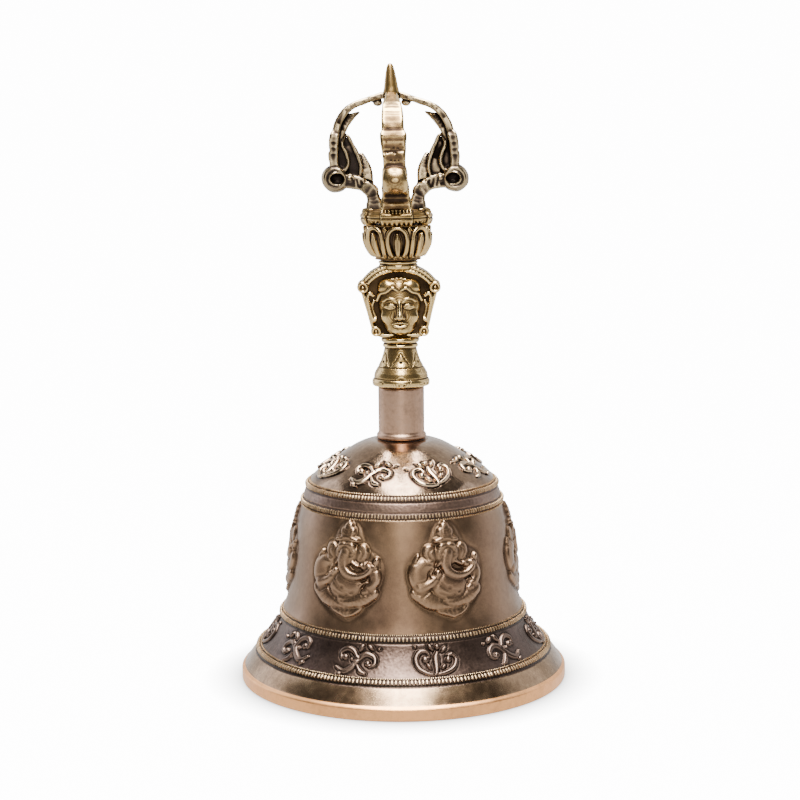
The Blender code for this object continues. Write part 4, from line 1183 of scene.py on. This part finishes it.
def prong_solid():
    """A prong in the XZ plane, like a beast's head: stem, curled snout, leaf, ribbed mane, barb, arc."""
    solid = Solid((2.0, -4.4, 129.0), (20.6, 4.4, 160.0), 0.17)
    solid.plate(
        [(5.9, 129.8, 2.2, 4.2), (5.9, 131.2, 1.85, 4.0), (6.6, 133.4, 1.55, 3.5), (8.6, 135.4, 1.7, 3.0),
         (11.2, 136.3, 1.9, 2.9), (13.6, 136.2, 1.5, 2.8)], edge=0.5,
    )
    solid.plate([(6.3, 133.7, 1.75, 3.7), (7.6, 134.7, 1.75, 3.5)], 2, edge=0.35, blend=0.15)
    solid.ring(CURL, 2.55, 1.25, squash=2.6, blend=0.3)
    solid.rod((16.0, -1.3, CURL[2]), (16.0, 1.3, CURL[2]), 2.6, blend=0.1)
    for side in (-1, 1):
        solid.ball((15.5, side * 3.3, CURL[2]), (1.9, 2.1, 1.5), cut=True, blend=0.2)
        solid.ball((STEM_EYE[0], side * 2.7, STEM_EYE[2]), (0.8, 0.6, 0.75), blend=0.1)
        solid.ring((STEM_EYE[0], side * STEM_EYE[1], STEM_EYE[2]), 1.0, 0.25, blend=0.1)
    solid.plate(
        [(16.1, 140.4, 1.3, 2.9), (16.3, 143.0, 1.3, 3.0), (16.1, 146.0, 1.3, 3.3), (15.8, 148.4, 1.3, 3.5),
         (15.3, 149.7, 1.05, 3.0), (14.5, 152.2, 1.0, 2.9), (13.0, 154.6, 0.95, 2.8),
         (10.6, 156.5, 0.85, 2.5), (7.4, 157.7, 0.8, 2.0), (4.6, 158.6, 0.8, 1.7), (2.5, 159.2, 0.9, 1.5)],
        edge=0.45, blend=0.15,
    )
    solid.plate(
        [(13.9, 139.2, 1.9, 1.2), (13.9, 143.0, 1.9, 1.2), (14.1, 146.5, 1.6, 1.2), (14.4, 149.0, 0.9, 1.2)],
        edge=0.4, blend=0.2,
    )
    solid.plate(
        [(15.0, 147.6, 1.1, 2.4), (14.0, 150.4, 1.5, 2.4), (12.3, 152.7, 1.3, 2.0), (10.4, 154.0, 0.7, 1.3),
         (8.9, 154.8, 0.25, 0.5)], edge=0.4, blend=0.15,
    )
    solid.ball((3.8, 0, 157.4), (1.3, 1.3, 1.0), blend=0.3)
    solid.plate(
        [(10.6, 138.4, 2.0, 1.7), (10.6, 141.6, 1.8, 1.7), (11.6, 144.8, 1.4, 1.6), (12.5, 147.2, 0.8, 1.5)],
        edge=0.5, blend=0.2,
    )
    solid.plate(
        [(9.6, 137.2, 0.45, 2.5), (9.0, 140.6, 0.5, 2.6), (10.0, 144.0, 0.5, 2.4), (11.2, 146.6, 0.45, 2.1),
         (12.2, 148.6, 0.4, 1.8)], edge=0.35, blend=0.15,
    )
    solid.plate(
        [(13.9, 138.6, 0.5, 2.7), (12.4, 141.2, 0.48, 2.6), (12.7, 143.8, 0.48, 2.5),
         (13.8, 146.4, 0.45, 2.3), (12.9, 148.9, 0.4, 1.9)], edge=0.35, blend=0.15,
    )
    solid.plate(
        [(7.2, 135.4, 1.3, 2.5), (7.4, 138.4, 1.45, 2.4), (8.0, 141.2, 1.2, 2.0), (8.8, 143.4, 0.7, 1.3)],
        edge=0.5, blend=0.15,
    )
    # creases across the mane and up its sides
    for number in range(6):
        level = 136.6 + 1.05 * number
        solid.rod((5.6, -3, level), (5.9 + 0.1 * number, 3, level), 0.24, cut=True, blend=0.1)
        for side in (-1, 1):
            wide = 2.2 - 0.22 * number
            solid.rod(
                (6.0, side * wide, level - 0.3), (8.8, side * wide, level + 0.7), 0.26, cut=True, blend=0.1,
            )
    for side in (-1, 1):
        for number in range(5):
            start = (6.4 + 1.15 * number, side * 3.0, 134.0 + 0.28 * number)
            solid.rod(start, (start[0] + 0.5, start[1], start[2] + 2.2), 0.22, cut=True, blend=0.1)
    # cuts and pits on the back of the curl's stalk
    solid.rod((17.8, -3.2, 144.4), (17.8, 3.2, 144.9), 0.55, cut=True, blend=0.2)
    solid.rod((17.9, -3.2, 141.2), (17.9, 3.2, 141.4), 0.45, cut=True, blend=0.2)
    rng = np.random.default_rng(4)
    for _ in range(26):
        level = rng.uniform(141.5, 149.4)
        spot = (17.45 + rng.uniform(-0.1, 0.1), rng.uniform(-3, 3), level)
        solid.ball(spot, rng.uniform(0.15, 0.35), cut=True, blend=0.1)
    return solid


def relaxed(points, faces, rounds):
    """The points eased toward the middle of their neighbours, as the edges of a worn casting are."""
    starts = faces.ravel()
    ends = np.roll(faces, -1, axis=1).ravel()
    starts, ends = np.concatenate([starts, ends]), np.concatenate([ends, starts])
    count = np.bincount(starts, minlength=len(points))[:, None]
    for _ in range(rounds):
        sums = [np.bincount(starts, column[ends], len(points)) for column in points.T]
        points = points + 0.5 * (np.column_stack(sums) / count - points)
    return points


def turned_by(points, turns):
    """Points turned about the axis by a number of quarter turns."""
    angle = turns * TAU / 4
    c, s = math.cos(angle), math.sin(angle)
    x, y, z = points.T
    return np.column_stack([x * c - y * s, x * s + y * c, z])


def roughened(points, faces, depth, size, seed):
    """The points moved in and out a little along their normals, as on a hand-finished casting."""
    quad = points[faces]
    across = np.cross(quad[:, 2] - quad[:, 0], quad[:, 3] - quad[:, 1])
    normals = np.zeros_like(points)
    for corner in range(4):
        for axis in range(3):
            normals[:, axis] += np.bincount(faces[:, corner], across[:, axis], len(points))
    normals /= np.maximum(np.linalg.norm(normals, axis=1), TINY)[:, None]
    return points + normals * (depth * ripple(points, size, seed))[:, None]


PETAL_STEP = 0.16


def relief_turned(name, line, sectors, columns, draw, material, node):
    """A turned brass piece with the same relief in equal sectors, the first one facing the front."""
    line = spaced(line, PETAL_STEP)
    along = np.concatenate([[0], np.cumsum(np.linalg.norm(np.diff(line, axis=0), axis=1))])
    offsets = (np.arange(columns) / columns - 0.5) * TAU / sectors
    relief = Relief(offsets[None] * line[:, :1], (along[-1] / 2 - along)[:, None] + 0 * offsets[None])
    draw(relief)
    height = np.tile(relief.height, sectors)
    angles = np.concatenate([offsets + TAU * number / sectors for number in range(sectors)])[None]
    normals = outward(line)
    flat = wrapped(line, normals, angles, np.zeros_like(height))
    height = height + 0.04 * ripple(flat, 3, 9).reshape(height.shape)
    proud = standing(height, ((0.8, 2), (0.4, 6)))
    points = leaned(wrapped(line, normals, angles, height))
    faces = grid_faces(len(line), height.shape[1], True)
    add_piece(name, points, faces, material, "bell", "handle_brass", replaces=[node], proud=proud.ravel())


def lotus_petal(relief):
    """A round-headed petal with a raised edge and rib, and a tip behind it on each side."""
    relief.height -= 0.55 * np.clip((relief.y + 4.6) / 0.6, 0, 1) * np.clip((5.0 - relief.y) / 0.5, 0, 1)
    for side in (-1, 1):
        relief.stroke(
            [(side * 3.5, 1.5, 0.5), (side * 3.52, 3.4, 0.7), (side * 3.5, 4.4, 0.25)], 0.5, base=-0.5,
        )
    arch = [(-1.7, -4.2), (-2.35, -2.2), (-2.75, 0.2), (-2.5, 2.4), (-1.4, 3.7), (0, 4.1)]
    arch += [(-x, y) for x, y in reversed(arch[:-1])]
    relief.stroke([(x, y, 0.62) for x, y in arch], 0.65, base=-0.35)
    inner = [(-0.9, -4.2), (-1.4, -2.0), (-1.6, 0.2), (-1.3, 1.9), (-0.6, 2.9), (0, 3.2)]
    inner += [(-x, y) for x, y in reversed(inner[:-1])]
    relief.groove([(x, y, 0.3) for x, y in inner], 0.45)
    relief.stroke([(0, -4.0, 0.45), (0, -1.0, 0.85), (0, 0.8, 0.85), (0, 2.4, 0.35)], 0.75, base=-0.3)


TOOTH_PITCH = 0.95
NOTCH_PITCH = 1.25


def plinth_teeth(relief):
    """A toothed block under each prong, notches all round below it and a groove between them."""
    block = np.clip((4.6 - np.abs(relief.x)) / 0.35, 0, 1)
    teeth = 0.5 + 0.5 * np.cos(TAU * relief.x / TOOTH_PITCH)
    side = np.clip((relief.y + 4.2) / 0.4, 0, 1) * np.clip((3.4 - relief.y) / 0.4, 0, 1)
    relief.height += side * (0.35 * block - 0.35 * (1 - block))
    high = np.exp(-(((relief.y - 1.75) / 0.5) ** 2))
    low = np.exp(-(((relief.y + 1.9) / 0.55) ** 2))
    relief.height += block * 0.55 * high * (teeth - 0.75)
    relief.height += 0.4 * low * (0.5 + 0.5 * np.cos(TAU * relief.x / NOTCH_PITCH) - 0.7)
    relief.height -= 0.3 * np.exp(-(((relief.y + 0.3) / 0.22) ** 2))


RECESS_TARNISH = 0.13
HEAD_BACK_DARKENING = 0.12
HEAD_WIDENING = 1.1


def add_column():
    """The column, tarnished in the recess round each head."""
    points, faces, proud = column_body().surface()
    points = roughened(relaxed(points, faces, 1), faces, 0.03, 4, 1)
    x, y, z = np.abs(points[:, 0]), np.abs(points[:, 1]), points[:, 2]
    recess = (z > 95) & (z < 112.5) & (y < 3.3) & (x < 9.2) & (y > 2.0)
    proud = proud - RECESS_TARNISH * recess
    add_piece(
        "head_column_body", leaned(points), faces, BRASS, "bell", "handle_brass", ["head_column"], proud,
    )


def add_heads():
    """The same head at the front and, turned half round, at the back."""
    points, faces, proud = calm_head().surface()
    points = points * (HEAD_WIDENING, 1, 1)
    # Darker towards the back of each head, where it sinks into the panel.
    proud = proud - HEAD_BACK_DARKENING * np.clip((points[:, 1] + 5.4) / 1.8, 0, 1)
    for name, turn in (("head_front", (1, 1, 1)), ("head_back", (-1, -1, 1))):
        add_piece(name, leaned(points * turn), faces, BRASS, "bell", "handle_brass", ["head_column"], proud)


def add_prongs():
    """Four castings of one prong; the three turned away from the front get a darker finish than the front
    one, painted shade.
    """
    points, faces, proud = prong_solid().surface()
    points = roughened(relaxed(points, faces, 5), faces, 0.06, 3, 2)
    proud = relaxed(proud[:, None] + np.zeros((1, 3)), faces, 6)[:, 0]
    for turns, side in enumerate(("right", "back", "left", "front")):
        # Painted shade: the three prongs turned away from the front get the darker copy of the finish.
        finish = DARK_BRASS if side == "front" else SIDE_PRONG_PATINA_AND_SHADE
        placed = leaned(turned_by(points, turns))
        add_piece(
            f"prong_{side}_cast", placed, faces, finish, "bell", "handle_brass", [f"prong_{side}"], proud,
        )


add_column()
add_heads()
add_prongs()

LOTUS_LINE = curve(
    [(4.0, 124.9), (8.3, 124.9), (8.95, 124.3), (9.1, 122.6), (9.0, 120.6), (8.5, 118.9), (7.7, 117.4),
     (6.7, 116.3), (6.1, 115.9), (6.3, 115.6), (5.5, 115.3), (2.4, 115.3)], 6
)
relief_turned("lotus_cup_petals", LOTUS_LINE, 8, 60, lotus_petal, DARK_BRASS, "lotus_cup")
PLINTH_LINE = [
    (2.4, 129.1), (8.0, 129.1), (8.7, 128.8), (9.1, 128.1), (9.1, 127.8), (9.5, 127.5), (9.65, 126.9),
    (9.5, 126.2), (9.2, 125.6), (8.9, 125.25), (2.4, 125.2),
]
relief_turned("prong_plinth_teeth", PLINTH_LINE, 4, 120, plinth_teeth, BRASS, "prong_plinth")

SPIRE_LINE = [
    (0.05, 167.7), (0.5, 167.6), (0.85, 167.1), (1.15, 166.0), (1.6, 163.6), (1.9, 161.4), (2.2, 160.2),
    (2.3, 159.2), (2.2, 157.8), (1.9, 156.8), (1.9, 104.2),
]
turned_piece(
    "centre_spire_turned", SPIRE_LINE, BRASS, "bell", "handle_brass", 48, 0.3, lean=True,
    replaces=["centre_spire"],
)
SLEEVE_LINE = [
    (2.4, 80.7), (6.0, 80.7), (6.3, 80.45), (6.3, 68.3), (6.45, 68.0), (6.8, 67.6), (6.8, 66.8),
    (6.6, 66.5), (2.4, 66.5),
]
turned_piece(
    "neck_sleeve_turned", SLEEVE_LINE, NECK_BRONZE, "bell", "neck_bronze", 128, 0.3,
    replaces=["neck_sleeve"],
)


# Hanger and clapper


THREAD_PITCH = 0.62


def span(node):
    """The lowest and highest corners of a CAD node, in millimetres."""
    low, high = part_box(node)
    return np.array(low) / MM, np.array(high) / MM


def eye_bolt():
    """A bolt with an eye at its foot and a thread cut round it, as fine rings."""
    low, high = span("eye_bolt")
    bar, radius = 1.3, 3.6
    eye = low[2] + radius + bar
    solid = Solid((-5.4, -2.4, low[2] - 0.4), (5.4, 2.4, high[2] + 0.4), 0.2)
    solid.ring((0, 0, eye), radius, bar)
    solid.rod((0, 0, eye + radius + 0.5), (0, 0, high[2] - 2.0), 2.0, blend=0.6)
    for turn in range(14):
        level = eye + radius + 2.4 + THREAD_PITCH * turn
        solid.ring((0, 0, level), 2.08, 0.17, axis=2, cut=True, blend=0.08)
    return solid


def hanger_link():
    """A closed oval link, with the seam of its joint halfway down one side."""
    low, high = span("hanger_link")
    bar, bend = 1.0, 2.6
    top, foot = high[2] - bar - bend, low[2] + bar + bend
    solid = Solid((-1.4, -4.0, low[2] - 0.4), (1.4, 4.0, high[2] + 0.4), 0.14)
    turns = [math.pi * number / 10 for number in range(11)]
    path = [(bend * math.cos(turn), top + bend * math.sin(turn)) for turn in turns]
    path += [(-y, top + foot - z) for y, z in path]
    for (y0, z0), (y1, z1) in zip(path, path[1:] + path[:1]):
        solid.rod((0, y0, z0), (0, y1, z1), bar)
    solid.ring((0, bend, (top + foot) / 2), bar, 0.13, axis=2, cut=True, blend=0.05)
    return solid


def clapper_rod():
    """A rod with an eye at its top."""
    low, high = span("clapper_rod")
    bar = 1.1
    radius = (high[0] - low[0]) / 2 - bar
    eye = high[2] - radius - bar
    wide = radius + bar + 0.4
    solid = Solid((-wide, -2.0, low[2] - 0.4), (wide, 2.0, high[2] + 0.4), 0.16)
    solid.ring((0, 0, eye), radius, bar)
    solid.rod((0, 0, eye - radius - 0.6), (0, 0, low[2] + 1.5), 1.5, blend=0.5)
    return solid


def clapper_ball():
    """A ball with a collar round the rod and a worn belt of strike marks."""
    low, high = span("clapper_ball")
    radius, collar = 7.0, 3.0
    middle, top = low[2] + radius, high[2]
    solid = Solid((-7.5, -7.5, low[2] - 0.5), (7.5, 7.5, top + 0.5), 0.22)
    outline = [(radius * math.cos(a), middle + radius * math.sin(a)) for a in np.linspace(-1.57, 1.12, 40)]
    solid.turned(outline + [(collar, outline[-1][1] + 0.3), (collar, top - 0.4), (collar - 0.35, top)])
    solid.rod((0, 0, top - 4.7), (0, 0, top + 2.0), 1.8, cut=True)
    rng = np.random.default_rng(11)
    for _ in range(40):
        angle, tilt = rng.uniform(0, TAU), rng.uniform(-0.3, 0.5)
        reach = radius + rng.uniform(0.35, 0.6)
        flat = reach * math.cos(tilt)
        spot = (flat * math.sin(angle), flat * math.cos(angle), middle + reach * math.sin(tilt))
        solid.ball(spot, rng.uniform(0.5, 0.8), cut=True, blend=0.3)
    return solid


for node, shape, rounds, finish, body, slot in (
    ("eye_bolt", eye_bolt, 2, STEEL, "bell", "hanger_steel"),
    ("hanger_link", hanger_link, 2, STEEL, "link", "hanger_steel"),
    ("clapper_rod", clapper_rod, 2, STEEL, "clapper", "hanger_steel"),
    ("clapper_ball", clapper_ball, 6, CLAPPER_BRASS, "clapper", "clapper_brass"),
):
    points, faces, proud = shape().surface()
    points = roughened(relaxed(points, faces, rounds), faces, 0.02, 2, 6)
    add_piece(f"{node}_forged", points, faces, finish, body, slot, [node], proud)

low, high = span("crown_washer")
WASHER_LINE = [
    (2.3, high[2]), (5.6, high[2]), (6.0, high[2] - 0.3), (6.0, low[2] + 0.3), (5.6, low[2]), (2.3, low[2]),
]
turned_piece(
    "crown_washer_turned", WASHER_LINE, STEEL, "bell", "hanger_steel", 96, 0.2, replaces=["crown_washer"],
)


# Stage


PAPER_HALF_WIDTH = 1.6
PAPER_FRONT = -1.4
BEND_START = 0.45
BEND_RADIUS = 0.35
PAPER_TOP = 1.6
BEND_STEPS = 16
PAPER_GREY = 0.12
PAPER_GLOW = 0.85
# The paper is dim close round the bell's rim, which gives it a soft contact shade, and white further out.
SHADE_FROM, SHADE_TO = 0.0445, 0.056
SHADE_GLOW, WHITE_GLOW = 0.6, 13.0


def paper_finish():
    """White paper that shines on its face only; from below it is clear, so the bell's mouth can be seen."""
    paper = bpy.data.materials.new("paper")
    paper.use_nodes = True
    tree = paper.node_tree
    shader = tree.nodes["Principled BSDF"]
    shader.inputs["Base Color"].default_value = (PAPER_GREY, PAPER_GREY, PAPER_GREY, 1)
    shader.inputs["Roughness"].default_value = 0.9
    shader.inputs["Emission Color"].default_value = (1, 1, 1, 1)
    seen = shader_node(tree, "LightPath").outputs["Is Camera Ray"]
    place = shader_node(tree, "TexCoord").outputs["Object"]
    reach = shader_node(tree, "VectorMath", {0: place}, operation="LENGTH").outputs["Value"]
    glow = product_of(tree, spread(tree, reach, SHADE_FROM, SHADE_TO, SHADE_GLOW, WHITE_GLOW), seen)
    tree.links.new(sum_of(tree, glow, PAPER_GLOW), shader.inputs["Emission Strength"])
    behind = shader_node(tree, "NewGeometry").outputs["Backfacing"]
    mixed = shader_node(tree, "MixShader", {0: behind, 1: shader.outputs["BSDF"]})
    tree.links.new(shader_node(tree, "BsdfTransparent").outputs["BSDF"], mixed.inputs[2])
    tree.links.new(mixed.outputs["Shader"], tree.nodes["Material Output"].inputs["Surface"])
    return paper


def make_stage():
    """A sheet of paper that lies flat and bends up behind the bell."""
    mesh = bpy.data.meshes.new("floor")
    profile = [(PAPER_FRONT, 0.0), (BEND_START, 0.0)]
    for number in range(1, BEND_STEPS + 1):
        angle = number / BEND_STEPS * math.pi / 2
        level = BEND_RADIUS - BEND_RADIUS * math.cos(angle)
        profile.append((BEND_START + BEND_RADIUS * math.sin(angle), level))
    profile.append((BEND_START + BEND_RADIUS, PAPER_TOP))
    points = [(x, y, z) for y, z in profile for x in (-PAPER_HALF_WIDTH, PAPER_HALF_WIDTH)]
    faces = [(2 * n, 2 * n + 1, 2 * n + 3, 2 * n + 2) for n in range(len(profile) - 1)]
    mesh.from_pydata(points, [], faces)
    mesh.polygons.foreach_set("use_smooth", [True] * len(faces))
    mesh.materials.append(paper_finish())
    floor = bpy.data.objects.new("floor", mesh)
    bpy.context.scene.collection.objects.link(floor)
    floor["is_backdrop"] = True


def soft_box(name, place, aim, size, power, tint):
    """A rectangular lamp at a place, in metres, turned to its aim."""
    lamp = bpy.data.lights.new(name, "AREA")
    lamp.shape = "RECTANGLE"
    lamp.size, lamp.size_y = size
    lamp.energy = power
    lamp.color = tint
    made = bpy.data.objects.new(name, lamp)
    bpy.context.scene.collection.objects.link(made)
    made.location = place
    made.rotation_euler = (Vector(aim) - Vector(place)).to_track_quat("-Z", "Y").to_euler()


BELL_MIDDLE = (0, 0, 0.08)
ROOM_TINT = (0.95, 0.97, 1.0, 1)
ROOM_GLOW = 0.12
ROOM_SEEN = 16.0


def make_room():
    """A dim room that looks white wherever it is seen past the paper."""
    world = bpy.data.worlds.new("room")
    world.use_nodes = True
    tree = world.node_tree
    backdrop = tree.nodes["Background"]
    backdrop.inputs["Color"].default_value = ROOM_TINT
    seen = shader_node(tree, "LightPath").outputs["Is Camera Ray"]
    tree.links.new(spread(tree, seen, 0, 1, ROOM_GLOW, ROOM_SEEN), backdrop.inputs["Strength"])
    bpy.context.scene.world = world


CAMERA_PLACE = (0, -0.4957, 0.150)
CAMERA_DIP = 8.40
CAMERA_ROLL = -0.52
LENS = 82.26
SENSOR = 36.0
SIDE_SHIFT = -0.00155
CLIP_START = 0.01


def make_camera():
    """A long lens a little above the bell, tipped down by CAMERA_DIP degrees."""
    data = bpy.data.cameras.new("camera")
    data.sensor_width = SENSOR
    data.lens = LENS
    data.shift_x = SIDE_SHIFT
    data.clip_start = CLIP_START
    camera = bpy.data.objects.new("camera", data)
    bpy.context.scene.collection.objects.link(camera)
    tip = Matrix.Rotation(math.radians(90 - CAMERA_DIP), 4, "X")
    roll = Matrix.Rotation(math.radians(CAMERA_ROLL), 4, "Z")
    camera.matrix_world = Matrix.Translation(CAMERA_PLACE) @ tip @ roll
    bpy.context.scene.camera = camera


make_stage()
soft_box("left_box", (-0.80, 0.40, 0.35), BELL_MIDDLE, (0.50, 0.9), 3.8, (0.86, 0.90, 1.0))
soft_box("right_box", (0.85, 0.25, 0.35), BELL_MIDDLE, (0.45, 0.9), 2.0, (0.88, 0.91, 1.0))
soft_box("top_box", (0.0, -0.28, 0.95), (0, -0.28, 0.0), (0.44, 1.4), 66.0, (1.0, 0.985, 0.96))
soft_box("front_box", (0.03, -1.0, 0.30), BELL_MIDDLE, (0.30, 0.5), 2.0, (1.0, 0.97, 0.92))
make_room()
make_camera()

# The CAD solids themselves, under the pieces that stand for them
for node_name, finish in (
    ("neck_sleeve", NECK_BRONZE), ("head_column", BRASS), ("lotus_cup", BRASS), ("prong_plinth", BRASS),
    ("prong_right", BRASS), ("prong_back", BRASS), ("prong_left", BRASS), ("prong_front", BRASS),
    ("centre_spire", BRASS), ("crown_washer", STEEL), ("hanger_nut", STEEL), ("eye_bolt", STEEL),
    ("hanger_link", STEEL), ("clapper_rod", STEEL), ("clapper_ball", CLAPPER_BRASS),
):
    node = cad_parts[node_name]
    node.data.materials.clear()
    node.data.materials.append(finish)

low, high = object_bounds()
